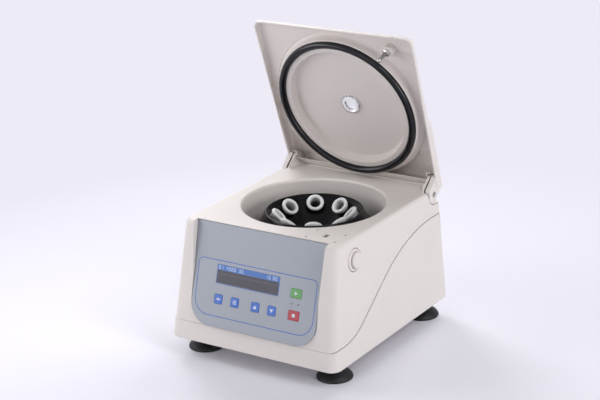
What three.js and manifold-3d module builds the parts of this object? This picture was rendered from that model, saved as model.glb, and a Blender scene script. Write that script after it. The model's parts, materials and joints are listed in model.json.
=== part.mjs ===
// Bench centrifuge with an open lid, a fixed-angle rotor and a two-part moulded housing.
// Millimetres, +Z up, floor at z = 0, rotor axis at x = y = 0, front towards -Y.
import * as THREE from "three";
import { mergeVertices } from "three/addons/utils/BufferGeometryUtils.js";
import Module from "manifold-3d";

const wasm = await Module();
wasm.setup();

const DEG = Math.PI / 180;
const GAP = 0.3;

// The finished group is moved so that its origin lies under the middle of its overall box.
const FRAME_SHIFT = 9.6;

// Body
const BASE_Z = 29;
const DECK_Z = 209.2;
const HALF_WIDTH = 147.06;
const SIDE_DRAFT = 0.0623;
const FRONT_Y = -185.84;
const FRONT_SLOPE = 0.1867;
const REAR_Y = 152.44;
const REAR_SLOPE = 0.0163;
const FRONT_CORNER = 16;
const REAR_CORNER = 10;
const WALL = 3;
const SIDE_STEP = 1.3;

// Control panel
const PANEL_FOOT_Y = -193.56;
const PANEL_TILT = Math.atan(0.296);
const PANEL_THICK = 2.2;
const KEY_SIZE = 14.3;
const KEY_TRAVEL = 0.5;

// Chamber and rotor
const WELL_RADIUS = 109.6;
const LIP_RADIUS = 4;
const WELL_BOTTOM = 152;
const RIM_RADIUS = 72.2;
const SLEEVE_PITCH = 52;
const SLEEVE_MOUTH_Z = 190.7;
const SLEEVE_TILT = 45 * DEG;
const SLEEVE_COUNT = 8;
const SLEEVE_PHASE = 31 * DEG;
const SLEEVE_LENGTH = 56;
const FLANGE_RADIUS = 13.5;
const BORE_RADIUS = 8.3;
const SHAFT_RADIUS = 6;

// Lid, drawn closed and turned open about the hinge
const HINGE_Y = 131.6;
const HINGE_Z = 201.75;
const LID_OPEN = 71.63 * DEG;
const LID_RIM_Z = 214.5;
const LID_FRONT_Y = -140.5;
const LID_REAR_Y = 138;
const LID_HALF_FRONT = 139.8;
const LID_HALF_REAR = 135.8;
const LID_WALL = 2.5;
const GASKET_OUTER = 119.7;
const GASKET_INNER = 109;
const PORT_RADIUS = 13.5;
const EAR_INNER_X = 127.3;
const EAR_OUTER_X = 135.6;
const LUG_RADIUS = 14.6;
const PIN_RADIUS = 3.5;
const TOWER_INNER_X = 121.6;
const TOWER_OUTER_X = 126.4;

// Latch and button
const LATCH_X = 93.8;
const LATCH_Y = -115.5;
const STRIKER_Y = -113.5;
const BOSS_TOP_Z = 213.4;
const BUTTON_Y = -110;
const BUTTON_Z = 178;
const BUTTON_TRAVEL = 4.5;

// Feet
const FOOT_X = 115.1;
const FOOT_FRONT_Y = -136.6;
const FOOT_REAR_Y = 123.8;
const FOOT_RADIUS = 27.4;

const shellWhite = new THREE.MeshStandardMaterial({ color: 0xe2dcd8, roughness: 0.5 });
const panelGrey = new THREE.MeshStandardMaterial({ color: 0x9aa0ab, roughness: 0.5 });
const rubber = new THREE.MeshStandardMaterial({ color: 0x1a1a1c, roughness: 0.7 });
const rotorBlack = new THREE.MeshStandardMaterial({ color: 0x161618, roughness: 0.3 });
const sleeveWhite = new THREE.MeshStandardMaterial({ color: 0xdcdee0, roughness: 0.4 });
const chrome = new THREE.MeshStandardMaterial({ color: 0xcccccc, metalness: 1, roughness: 0.15 });
const steel = new THREE.MeshStandardMaterial({ color: 0x9a9ca0, metalness: 1, roughness: 0.4 });
const glassClear = new THREE.MeshStandardMaterial({ color: 0xe8f0f4, roughness: 0.1 });
const displayDark = new THREE.MeshStandardMaterial({ color: 0x3c3a44, roughness: 0.15 });
const keyBlue = new THREE.MeshStandardMaterial({ color: 0x3a6cc0, roughness: 0.5 });
const keyGreen = new THREE.MeshStandardMaterial({ color: 0x3f9a3f, roughness: 0.5 });
const keyRed = new THREE.MeshStandardMaterial({ color: 0xb82838, roughness: 0.5 });
const boardGreen = new THREE.MeshStandardMaterial({ color: 0x1f5a34, roughness: 0.6 });
const blackPlastic = new THREE.MeshStandardMaterial({ color: 0x202022, roughness: 0.5 });

const group = new THREE.Group();
group.name = "centrifuge";

// Turns a three.js geometry into a solid, facing outwards.
function solidOf(geometry) {
  const flat = geometry.index ? geometry.toNonIndexed() : geometry.clone();
  const bare = new THREE.BufferGeometry();
  bare.setAttribute("position", flat.getAttribute("position"));
  const merged = mergeVertices(bare, 1e-4);
  const vertProperties = merged.attributes.position.array;
  const triVerts = new Uint32Array(merged.index.array);
  const solid = new wasm.Manifold(new wasm.Mesh({ numProp: 3, vertProperties, triVerts }));
  if (solid.volume() >= 0) return solid;
  for (let i = 0; i < triVerts.length; i += 3) {
    [triVerts[i + 1], triVerts[i + 2]] = [triVerts[i + 2], triVerts[i + 1]];
  }
  return new wasm.Manifold(new wasm.Mesh({ numProp: 3, vertProperties, triVerts }));
}

// Adds a solid to the group as a named mesh, moved by a matrix if one is given.
function addPart(name, solid, material, matrix) {
  const data = solid.asOriginal().simplify(0.02).getMesh();
  const geometry = new THREE.BufferGeometry();
  geometry.setAttribute("position", new THREE.BufferAttribute(data.vertProperties, 3));
  geometry.setIndex(new THREE.BufferAttribute(data.triVerts, 1));
  if (matrix) geometry.applyMatrix4(matrix);
  geometry.computeVertexNormals();
  const mesh = new THREE.Mesh(geometry, material.clone());
  mesh.name = name;
  group.add(mesh);
}

function union(...solids) {
  return solids.reduce((all, next) => all.add(next));
}

function moved(geometry, x, y, z) {
  return solidOf(geometry.translate(x, y, z));
}

function box(x0, x1, y0, y1, z0, z1) {
  const geometry = new THREE.BoxGeometry(x1 - x0, y1 - y0, z1 - z0);
  return moved(geometry, (x0 + x1) / 2, (y0 + y1) / 2, (z0 + z1) / 2);
}

function rod(radius, z0, z1, x = 0, y = 0, segments = 32) {
  const geometry = new THREE.CylinderGeometry(radius, radius, z1 - z0, segments);
  return moved(geometry.rotateX(Math.PI / 2), x, y, (z0 + z1) / 2);
}

// A rod along X through a point of the side view.
function crossRod(radius, x0, x1, y, z, segments = 32) {
  const geometry = new THREE.CylinderGeometry(radius, radius, x1 - x0, segments);
  return moved(geometry.rotateZ(Math.PI / 2), (x0 + x1) / 2, y, z);
}

// Turns a closed outline of [radius, height] pairs about the Z axis.
function turned(outline, segments = 64) {
  const points = outline.map(([r, h]) => new THREE.Vector2(r, h));
  if (outline[0][0] > 0) points.push(points[0].clone());
  const geometry = new THREE.LatheGeometry(points, segments);
  return solidOf(geometry.rotateX(Math.PI / 2));
}

// Pushes an outline of [y, z] pairs along X.
function sideExtrusion(outline, x0, x1) {
  const shape = new THREE.Shape(outline.map(([y, z]) => new THREE.Vector2(y, z)));
  const geometry = new THREE.ExtrudeGeometry(shape, { depth: x1 - x0, bevelEnabled: false });
  geometry.applyMatrix4(new THREE.Matrix4().set(0, 0, 1, x0, 1, 0, 0, 0, 0, 1, 0, 0, 0, 0, 0, 1));
  return solidOf(geometry);
}

// Points along an arc, from angle a0 to a1 in degrees.
function arc(cx, cy, radius, a0, a1, steps) {
  return Array.from({ length: steps + 1 }, (_, i) => {
    const a = (a0 + ((a1 - a0) * i) / steps) * DEG;
    return [cx + radius * Math.cos(a), cy + radius * Math.sin(a)];
  });
}

// One rounded corner of a ring, between the directions to its two neighbours.
function roundedCorner(before, corner, after, radius, steps) {
  const toBefore = before.clone().sub(corner).normalize();
  const toAfter = after.clone().sub(corner).normalize();
  const half = Math.acos(toBefore.dot(toAfter)) / 2;
  const middle = toBefore.clone().add(toAfter).normalize();
  const centre = corner.clone().addScaledVector(middle, radius / Math.sin(half));
  const start = corner.clone().addScaledVector(toBefore, radius / Math.tan(half)).sub(centre);
  const turn = Math.PI - 2 * half;
  return Array.from({ length: steps + 1 }, (_, i) =>
    start.clone().rotateAround(new THREE.Vector2(), (turn * i) / steps).add(centre),
  );
}

// A four-cornered ring at height z, seen from above and anticlockwise.
function ring(z, { front, rear, halfFront, halfRear, rFront, rRear }, steps = 4) {
  const c = [
    new THREE.Vector2(-halfFront, front),
    new THREE.Vector2(halfFront, front),
    new THREE.Vector2(halfRear, rear),
    new THREE.Vector2(-halfRear, rear),
  ];
  const radii = [rFront, rFront, rRear, rRear];
  return c
    .flatMap((p, i) => roundedCorner(c[(i + 3) % 4], p, c[(i + 1) % 4], radii[i], steps))
    .map((p) => new THREE.Vector3(p.x, p.y, z));
}

// Skins a stack of rings that all have the same number of points.
function loft(rings) {
  const count = rings[0].length;
  const corners = [];
  const centre = (points) =>
    points.reduce((sum, p) => sum.add(p), new THREE.Vector3()).divideScalar(points.length);
  const top = rings[rings.length - 1];
  const low = centre(rings[0]);
  const high = centre(top);
  for (let i = 0; i < count; i += 1) {
    const j = (i + 1) % count;
    for (let k = 0; k + 1 < rings.length; k += 1) {
      corners.push(rings[k][i], rings[k][j], rings[k + 1][j]);
      corners.push(rings[k][i], rings[k + 1][j], rings[k + 1][i]);
    }
    corners.push(low, rings[0][j], rings[0][i]);
    corners.push(high, top[i], top[j]);
  }
  return solidOf(new THREE.BufferGeometry().setFromPoints(corners));
}

// Horizontal section of the body at height z, drawn in by an inset.
function bodySection(z, side, front = side, rear = side) {
  const half = HALF_WIDTH - SIDE_DRAFT * (z - BASE_Z) - side;
  return ring(z, {
    front: FRONT_Y + FRONT_SLOPE * (z - BASE_Z) + front,
    rear: REAR_Y - REAR_SLOPE * (z - BASE_Z) - rear,
    halfFront: half,
    halfRear: half,
    rFront: Math.max(FRONT_CORNER - side, 5),
    rRear: Math.max(REAR_CORNER - side, 4),
  });
}

// The outside of the cover: straight drafted walls under a rounded deck edge.
function coverBlock() {
  const edge = 6;
  const rounding = [30, 60, 90].map((a) => {
    const inset = 1 - Math.cos(a * DEG);
    const z = DECK_Z - edge * (1 - Math.sin(a * DEG));
    return bodySection(z, edge * inset, 8 * inset, 5 * inset);
  });
  return loft([bodySection(40, 0), bodySection(DECK_Z - edge, 0), ...rounding]);
}

function coverCavity() {
  const top = DECK_Z - WALL;
  return loft([bodySection(35, WALL), bodySection(top - 5, WALL), bodySection(top, WALL + 4)]);
}

// The side seam: level at the front, an S over the side, level at the rear.
function seamLine(shift) {
  const lowArc = arc(-160, 170.5, 110, -90, -56.6, 8);
  const highArc = arc(120, -108.6, 277, 123.4, 90, 10);
  const points = [[-205, 57.2], [-178, 57.2], [-167, 60.5], ...lowArc, ...highArc, [200, 168.4]];
  return points.map(([y, z]) => [y, z + shift]);
}

function aboveSeam(shift) {
  return sideExtrusion([...seamLine(shift), [200, 270], [-205, 270]], -160, 160);
}

function belowSeam(shift) {
  return sideExtrusion([[-205, 5], [200, 5], ...seamLine(shift).reverse()], -160, 160);
}

// Carries points of the panel plane (x, s up the plane, d out of it) into the body.
function panelMatrix() {
  const matrix = new THREE.Matrix4().makeRotationX(Math.PI / 2 - PANEL_TILT);
  return matrix.setPosition(0, PANEL_FOOT_Y, BASE_Z);
}

function panelShape(grow) {
  const shape = new THREE.Shape();
  const r = 33;
  const half = 110.8 + grow;
  const bottom = 32.3 - grow;
  shape.moveTo(-115.5 - grow, 187.4 + grow);
  shape.lineTo(-half, 105);
  shape.lineTo(-half, bottom + r);
  shape.absarc(-half + r, bottom + r, r, Math.PI, 1.5 * Math.PI, false);
  shape.absarc(half - r, bottom + r, r, 1.5 * Math.PI, 2 * Math.PI, false);
  shape.lineTo(half, 105);
  shape.lineTo(115.5 + grow, 187.4 + grow);
  return shape;
}

function roundedSquare(x0, x1, y0, y1, r) {
  const shape = new THREE.Shape();
  shape.moveTo(x0 + r, y0);
  shape.absarc(x1 - r, y0 + r, r, -Math.PI / 2, 0, false);
  shape.absarc(x1 - r, y1 - r, r, 0, Math.PI / 2, false);
  shape.absarc(x0 + r, y1 - r, r, Math.PI / 2, Math.PI, false);
  shape.absarc(x0 + r, y0 + r, r, Math.PI, 1.5 * Math.PI, false);
  return shape;
}

// A slab between two depths, drawn in the panel's own plane.
function slab(shape, d0, d1, curveSegments = 7) {
  const options = { depth: d1 - d0, bevelEnabled: false, curveSegments };
  return moved(new THREE.ExtrudeGeometry(shape, options), 0, 0, d0);
}

function placedOnPanel(solid) {
  return solid.transform(panelMatrix().elements);
}

const keys = [
  { name: "key_left", x: -62.25, s: 74.65, material: keyBlue },
  { name: "key_menu", x: -33, s: 74.65, material: keyBlue },
  { name: "key_up", x: 3.4, s: 74.65, material: keyBlue },
  { name: "key_down", x: 32.35, s: 74.65, material: keyBlue },
  { name: "key_start", x: 70.6, s: 107.45, w: 18.8, h: 13.7, material: keyGreen },
  { name: "key_stop", x: 70.6, s: 75, w: 18.8, h: 14.2, material: keyRed },
];

function keyShape({ x, s, w = KEY_SIZE, h = KEY_SIZE }, grow) {
  return roundedSquare(x - w / 2 - grow, x + w / 2 + grow, s - h / 2 - grow, s + h / 2 + grow, 1.6 + grow);
}

// The chamber wall, with the rounded lip of the deck at its top.
function wellWall() {
  const lip = arc(WELL_RADIUS + LIP_RADIUS, DECK_Z - LIP_RADIUS, LIP_RADIUS, 180, 90, 4);
  return turned([
    ...lip,
    [116, DECK_Z],
    [116, 205.5],
    [WELL_RADIUS + WALL, 201],
    [WELL_RADIUS + WALL - 0.6, WELL_BOTTOM],
    [WELL_RADIUS - 0.6, WELL_BOTTOM],
  ], 56);
}

// One hinge tower with the block under it that carries the pin.
function hingeTower(sign) {
  const tower = [[119.5, 205], [121.5, 211], [127, 218.5], [133.5, 223.6], [140, 226.6]];
  const back = [[143.5, 226], [146.5, 222], [148.3, 205]];
  const [x0, x1] = [TOWER_INNER_X, TOWER_OUTER_X].map((x) => x * sign).sort((a, b) => a - b);
  const [b0, b1] = [TOWER_INNER_X, 137].map((x) => x * sign).sort((a, b) => a - b);
  const block = box(b0, b1, 111, 149.5, 181, 207);
  return [sideExtrusion([...tower, ...back], x0, x1), block];
}

// Room for a lid ear at a rear corner of the cover.
function earNotch(sign) {
  const r = LUG_RADIUS + 0.6;
  const [x0, x1] = [126.9, 160].map((x) => x * sign).sort((a, b) => a - b);
  const round = crossRod(r, x0, x1, HINGE_Y, HINGE_Z, 40);
  const above = box(x0, x1, HINGE_Y - r, 170, HINGE_Z, 240);
  const behind = box(x0, x1, HINGE_Y, 170, HINGE_Z - r, 240);
  return union(round, above, behind);
}

// Carries a lathe drawn along +Z onto the drafted right side wall.
function buttonMatrix() {
  const x = HALF_WIDTH - SIDE_DRAFT * (BUTTON_Z - BASE_Z);
  const matrix = new THREE.Matrix4().makeRotationY(Math.PI / 2 - Math.atan(SIDE_DRAFT));
  return matrix.setPosition(x, BUTTON_Y, BUTTON_Z);
}

function coverSolid() {
  const outer = coverBlock();
  const towers = [hingeTower(1), hingeTower(-1)];
  let cover = outer.subtract(coverCavity());
  const backing = placedOnPanel(slab(panelShape(6), -PANEL_THICK - 3.5, 12)).intersect(outer);
  const blocks = union(towers[0][1], towers[1][1]).intersect(outer);
  cover = union(cover, backing, blocks, towers[0][0], towers[1][0]);
  cover = cover.intersect(aboveSeam(0.36));
  cover = cover.subtract(placedOnPanel(slab(panelShape(GAP), -PANEL_THICK - GAP, 30)));
  cover = cover.subtract(rod(WELL_RADIUS + 4.5, 180, 230, 0, 0, 56)).add(wellWall());
  cover = cover.subtract(earNotch(1)).subtract(earNotch(-1));
  cover = cover.subtract(crossRod(PIN_RADIUS + 0.06, -160, -115.4, HINGE_Y, HINGE_Z));
  cover = cover.subtract(crossRod(PIN_RADIUS + 0.06, 115.4, 160, HINGE_Y, HINGE_Z));
  cover = cover.subtract(slab(roundedSquare(89.8, 97.8, -121.5, -109.5, 1.5), 195, 220, 4));
  cover = cover.subtract(rod(18, -9, 9, 0, 0, 40).transform(buttonMatrix().elements));
  return latchScrewSpots().reduce((s, [x, y]) => s.subtract(rod(1.9, 200, 215, x, y, 12)), cover);
}

function latchScrewSpots() {
  return [[-24, -15], [24, -15], [24, 15], [-24, 15]].map(([x, y]) => [LATCH_X + x, LATCH_Y + y]);
}

// The lower shell: proud side walls under the seam, with a tongue behind the cover.
function baseSolid() {
  const step = -SIDE_STEP;
  const rings = [
    bodySection(BASE_Z, step + 1.8, 1.6, 1.6),
    bodySection(BASE_Z + 0.8, step + 0.5, 0.5, 0.5),
    bodySection(BASE_Z + 2.4, step, 0, 0),
    bodySection(175, step, 0, 0),
  ];
  const cavity = loft([bodySection(BASE_Z + WALL, 3.7), bodySection(180, 3.7)]);
  const outside = loft([bodySection(50, 3.3), bodySection(180, 3.3)]);
  const inside = loft([bodySection(45, 5.6), bodySection(185, 5.6)]);
  const band = belowSeam(4).intersect(aboveSeam(-6));
  const clearOfPanel = placedOnPanel(slab(panelShape(8), -PANEL_THICK - 3.9, 30));
  const tongue = outside.subtract(inside).intersect(band).subtract(clearOfPanel);
  let base = loft(rings).subtract(cavity).intersect(belowSeam(0)).add(tongue);
  base = base.subtract(clearOfPanel.intersect(aboveSeam(0)));
  base = base.subtract(box(-96.2, -67.8, 140, 160, 64.8, 85.2));
  base = base.subtract(box(-51.2, -34.8, 140, 160, 63.8, 86.2));
  return ventSlots().reduce((s, slot) => s.subtract(slot), base);
}

// Two banks of cooling slots in the rear wall.
function ventSlots() {
  return [0, 1, 2, 3, 4, 5, 6].flatMap((i) => {
    const z = 66 + i * 11;
    return [box(15, 57, 140, 160, z, z + 4.2), box(67, 109, 140, 160, z, z + 4.2)];
  });
}

function footSolid() {
  return turned([
    [0, 3.4],
    [18.5, 3.4],
    [23, 0],
    [26.6, 0],
    [FOOT_RADIUS, 1.4],
    [26.6, 4],
    [23, 8],
    [17.6, 12],
    [15, 17],
    [15, BASE_Z - GAP],
    [0, BASE_Z - GAP],
  ], 20);
}

// The shell of the rotor: a 45 degree dish inside, a flared skirt outside, hollow below.
function rotorSolid() {
  const body = turned([
    [SHAFT_RADIUS + 0.3, 152],
    [17, 152],
    [18, 150.4],
    [25.9, 150.4],
    [70.6, 195.1],
    [RIM_RADIUS, 196.8],
    [74, 197.2],
    [75.4, 196.2],
    [82.5, 182.5],
    [90, 173],
    [103.3, 159.7],
    [104.5, 156.5],
    [104.5, 148],
    [102.6, 142],
    [98, 139.6],
    [101, 147],
    [101, 157],
    [86.5, 171.5],
    [74.2, 189.4],
    [70, 188.9],
    [33, 151.9],
    [20, 134],
    [SHAFT_RADIUS + 0.3, 134],
  ], 40);
  return sleeveMatrices().reduce((s, m) => s.subtract(rod(10.9, -14.2, 2, 0, 0, 14).transform(m.elements)), body);
}

// Each sleeve stands with its mouth centre on the pitch circle and leans outwards downwards.
function sleeveMatrices() {
  return Array.from({ length: SLEEVE_COUNT }, (_, i) => {
    const turn = new THREE.Matrix4().makeRotationZ(SLEEVE_PHASE + (i * 2 * Math.PI) / SLEEVE_COUNT);
    const lean = new THREE.Matrix4().makeRotationY(-SLEEVE_TILT).setPosition(SLEEVE_PITCH, 0, SLEEVE_MOUTH_Z);
    return turn.multiply(lean);
  });
}

function sleeveSolid() {
  return turned([
    [0, -SLEEVE_LENGTH],
    [6, -SLEEVE_LENGTH],
    [9.4, -SLEEVE_LENGTH + 4],
    [10.5, -8],
    [FLANGE_RADIUS, -4.4],
    [FLANGE_RADIUS, -0.8],
    [12.7, 0],
    [9.4, 0],
    [BORE_RADIUS, -1.2],
    [7.9, -SLEEVE_LENGTH + 6],
    [0, -SLEEVE_LENGTH + 2],
  ], 16);
}

// Outline of the lid at a height above its rim plane.
function lidSection(height, inset, rear = LID_REAR_Y, front = LID_FRONT_Y) {
  const share = (y) => (y - LID_FRONT_Y) / (LID_REAR_Y - LID_FRONT_Y);
  const half = (y) => LID_HALF_FRONT + (LID_HALF_REAR - LID_HALF_FRONT) * share(y);
  return ring(LID_RIM_Z + height, {
    front: front + inset,
    rear: rear - inset,
    halfFront: half(front) - inset,
    halfRear: half(rear) - inset,
    rFront: Math.max(13 - inset, 4),
    rRear: Math.max(6 - inset, 3),
  });
}

// The lid as one block, shrunk all round by an offset: corners, round plateau, rear hump.
function lidBlock(offset) {
  const foot = offset > 0 ? -2 : 0;
  const steps = (list) => list.map(([inset, height]) => [inset + offset, height - offset]);
  const corners = steps([[0, 4.8], [1.4, 7.6], [6, 10.8], [15, 12.9]]);
  const plateau = steps([[0, 13.4], [1.6, 16.2], [8, 18.3]]);
  const hump = steps([[0, 16], [5, 22.6], [15, 26.6]]);
  const low = loft([lidSection(foot, offset), ...corners.map(([i, h]) => lidSection(h, i))]);
  const rearPart = loft([lidSection(foot, offset, LID_REAR_Y, 6), ...plateau.map(([i, h]) => lidSection(h, i, LID_REAR_Y, 6))]);
  const back = loft([
    lidSection(foot + 4, offset + 4, LID_REAR_Y + 4, 58),
    ...hump.map(([i, h]) => lidSection(h, i * 1.0 + 4, LID_REAR_Y + 4, 58 + 2.2 * (i - offset))),
  ]);
  const disc = turned([
    [0, LID_RIM_Z + foot],
    [134 - offset, LID_RIM_Z + foot],
    ...plateau.map(([i, h]) => [134 - i, LID_RIM_Z + h]),
    [0, LID_RIM_Z + plateau[2][1]],
  ], 48);
  return union(low, rearPart, back, disc);
}

// Removes what would meet the deck towers and the deck edge while the lid turns.
function hingeRoom(gap) {
  const middle = crossRod(19.3 + gap, -127, 127, HINGE_Y, HINGE_Z, 40);
  const pocket = [-1, 1].map((sign) => {
    const [x0, x1] = [TOWER_INNER_X - 0.8, EAR_INNER_X - 0.1].map((x) => x * sign).sort((a, b) => a - b);
    return crossRod(27 + gap, x0, x1, HINGE_Y, HINGE_Z, 40);
  });
  return union(middle, ...pocket);
}

function earSolid(sign) {
  const [x0, x1] = [EAR_INNER_X, EAR_OUTER_X].map((x) => x * sign).sort((a, b) => a - b);
  const outline = [
    [111, LID_RIM_Z + 3],
    [111, LID_RIM_Z],
    ...arc(HINGE_Y, HINGE_Z, LUG_RADIUS, 148, 352, 18),
    [139.2, 208.6],
    [LID_REAR_Y, 212],
    [LID_REAR_Y, LID_RIM_Z + 3],
  ];
  const ear = sideExtrusion(outline, x0, x1);
  return ear.subtract(crossRod(PIN_RADIUS + 0.06, x0 - 1, x1 + 1, HINGE_Y, HINGE_Z));
}

function lidShell() {
  let shell = lidBlock(0).subtract(lidBlock(LID_WALL));
  shell = shell.subtract(hingeRoom(1));
  shell = shell.subtract(rod(PORT_RADIUS, 200, 260, 0, 0, 40));
  shell = shell.subtract(box(105.5, 111.5, -150, -136.5, LID_RIM_Z - 1, LID_RIM_Z + 1.6));
  return union(shell, earSolid(1), earSolid(-1));
}

// Inner moulding: a skin under the shell, with the gasket ridge and the sunk disc.
function lidLiner() {
  const crown = LID_RIM_Z - 1;
  const skin = lidBlock(LID_WALL + GAP).subtract(lidBlock(LID_WALL + GAP + 1.7));
  const trim = box(-200, 200, -200, 200, LID_RIM_Z - 5, LID_RIM_Z + 1.2);
  const ridge = turned([
    [PORT_RADIUS + 0.2, 226],
    [PORT_RADIUS + 3, 226],
    [PORT_RADIUS + 4, 227],
    [95.6, 227],
    [99.6, 219.8],
    [100.5, crown + 0.8],
    [101.4, crown],
    [108.6, crown],
    [108.6, crown + 4],
    [120.1, crown + 4],
    [120.1, crown],
    [121.4, crown + 0.3],
    [122.6, crown + 4.5],
    [124.6, 223.4],
    [128.5, 226.2],
    [127.5, 228.52],
    [124.4, 226.6],
    [121.4, crown + 6],
    [102.6, crown + 6],
    [101.4, 221],
    [98, 228.8],
    [PORT_RADIUS + 0.2, 228.8],
  ], 48);
  let liner = skin.subtract(trim).subtract(rod(127, 200, 240, 0, 0, 48)).add(ridge);
  liner = liner.subtract(hingeRoom(1.4));
  liner = liner.subtract(box(-150, -126.9, 107.5, 160, 200, LID_RIM_Z + 3.4));
  liner = liner.subtract(box(126.9, 150, 107.5, 160, 200, LID_RIM_Z + 3.4));
  liner = liner.add(strikerBoss());
  return liner.subtract(rod(3.3, 200, 240, LATCH_X, STRIKER_Y, 20));
}

// The raised boss that carries the striker.
function strikerBoss() {
  const top = BOSS_TOP_Z;
  return turned([
    [0, top],
    [7.6, top],
    [9.2, top + 1.6],
    [9.8, LID_RIM_Z + 9.6],
    [0, LID_RIM_Z + 9.6],
  ], 28).translate(LATCH_X, STRIKER_Y, 0);
}

function gasketSolid() {
  const crown = LID_RIM_Z - 1;
  const bottom = DECK_Z + GAP;
  return turned([
    [GASKET_INNER, bottom + 3.6],
    [GASKET_INNER + 0.9, bottom + 1.5],
    [GASKET_INNER + 2.9, bottom + 0.3],
    [GASKET_INNER + 5.35, bottom],
    [GASKET_OUTER - 2.9, bottom + 0.3],
    [GASKET_OUTER - 0.9, bottom + 1.5],
    [GASKET_OUTER, bottom + 3.6],
    [GASKET_OUTER, crown + 3.7],
    [GASKET_INNER, crown + 3.7],
  ], 48);
}

// Chromed striker: a threaded root in the liner, a collar, a shank and a mushroom head.
function strikerSolid() {
  const seat = BOSS_TOP_Z;
  return turned([
    [0, seat + 9],
    [3, seat + 9],
    [3, seat - GAP],
    [6, seat - GAP],
    [6, seat - 1.8],
    [4.4, seat - 2.8],
    [2.8, seat - 3.8],
    [2.2, seat - 6.4],
    [2.2, 192.6],
    [3.5, 191.8],
    [3.5, 190],
    [2, 188],
    [0, 187.6],
  ], 14).translate(LATCH_X, STRIKER_Y, 0);
}

// Keyhole plate under the deck, on the button's stem.
function catchSolid() {
  const [y0, y1] = [STRIKER_Y - 8, STRIKER_Y + 8];
  const plate = slab(roundedSquare(LATCH_X - 10, 128.5, y0, y1, 2), 193.2, 194.8, 4);
  const leg = box(124.5, 128.9, STRIKER_Y - 6, STRIKER_Y + 6, 171, 194);
  const slot = box(LATCH_X - 2.6, LATCH_X + 5, STRIKER_Y - 2.6, STRIKER_Y + 2.6, 190, 196);
  const entry = rod(4.4, 190, 196, LATCH_X + 0.5 + BUTTON_TRAVEL, STRIKER_Y, 24);
  return union(plate, leg).subtract(slot).subtract(entry);
}

function buildHousing() {
  addPart("top_cover", coverSolid(), shellWhite);
  addPart("base_shell", baseSolid(), shellWhite);
  const spots = [[1, FOOT_FRONT_Y], [-1, FOOT_FRONT_Y], [1, FOOT_REAR_Y], [-1, FOOT_REAR_Y]];
  spots.forEach(([sign, y], i) => {
    addPart("foot_" + (i + 1), footSolid().translate(sign * FOOT_X, y, 0), rubber);
  });
  latchScrewSpots().forEach(([x, y], i) => {
    const head = turned([[0, 203], [1.5, 203], [1.5, 209.3], [1, 209.6], [0, 209.7]], 10);
    addPart("latch_screw_" + (i + 1), head.translate(x, y, 0), steel);
  });
  [-1, 1].forEach((sign) => {
    const [x0, x1] = [115.8, 134.6].map((x) => x * sign).sort((a, b) => a - b);
    addPart(sign < 0 ? "hinge_pin_left" : "hinge_pin_right", crossRod(PIN_RADIUS, x0, x1, HINGE_Y, HINGE_Z), steel);
  });
}

function buildPanel() {
  let panel = slab(panelShape(0), -PANEL_THICK, 0);
  panel = panel.subtract(slab(roundedSquare(-70.5, 40.7, 97.5, 126.7, 1.2), -1.1, 2, 4));
  keys.forEach((key) => {
    panel = panel.subtract(slab(keyShape(key, 0.3), -5, 2, 4));
  });
  const lamps = [["lamp_run", 64.8], ["lamp_stop", 76]];
  lamps.forEach(([, x]) => {
    panel = panel.subtract(rod(1.8, -5, 2, x, 91.6, 16));
  });
  const matrix = panelMatrix();
  addPart("control_panel", panel, panelGrey, matrix);
  addPart("display_window", slab(roundedSquare(-70.3, 40.5, 97.7, 126.5, 1), -0.8, 0.1, 4), displayDark, matrix);
  lamps.forEach(([name, x]) => {
    const lens = turned([[0, -2], [1.5, -2], [1.5, 0.1], [0.9, 0.5], [0, 0.6]], 16);
    addPart(name, lens.translate(x, 91.6, 0), glassClear, matrix);
  });
  keys.forEach((key) => {
    const cap = slab(keyShape(key, 0), KEY_TRAVEL - PANEL_THICK, 0.7, 4);
    addPart(key.name, cap, key.material, matrix);
  });
}

function buildInside() {
  addPart("chamber_bowl", turned([
    [109.2, 151.7],
    [108.8, 140],
    [105.4, 131],
    [97, 126.6],
    [24.5, 126.6],
    [24.5, 124.4],
    [97.6, 124.4],
    [107, 129.2],
    [111, 139.4],
    [111.4, 149.4],
    [116, 149.4],
    [116, 151.7],
  ], 36), shellWhite);
  addPart("guard_ring", turned([[118.6, 34.6], [121.6, 34.6], [121.6, 198], [118.6, 198]], 36), steel);
  addPart("base_plate", slab(roundedSquare(-125, 125, -160, 142, 12), 32.3, 34.3, 4), steel);
  addPart("motor_shelf", turned([
    [49, 87],
    [117.8, 87],
    [117.8, 60],
    [115, 60],
    [115, 84],
    [49, 84],
  ], 36), steel);
  const motor = turned([
    [0, 44],
    [30, 44],
    [46, 47],
    [46, 105.3],
    [94, 105.3],
    [94, 108.3],
    [46, 108.3],
    [42, 112],
    [21, 113],
    [21, 123.6],
    [SHAFT_RADIUS + 0.3, 123.6],
    [SHAFT_RADIUS + 0.3, 96],
    [0, 96],
  ], 24);
  addPart("motor", motor, steel);
  [90, 210, 330].forEach((a, i) => {
    const x = 80 * Math.cos(a * DEG);
    const y = 80 * Math.sin(a * DEG);
    const damper = turned([[0, 87.3], [9, 87.3], [7.6, 96.1], [9, 105], [0, 105]], 20);
    addPart("motor_damper_" + (i + 1), damper.translate(x, y, 0), rubber);
  });
  buildBoards();
}

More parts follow.
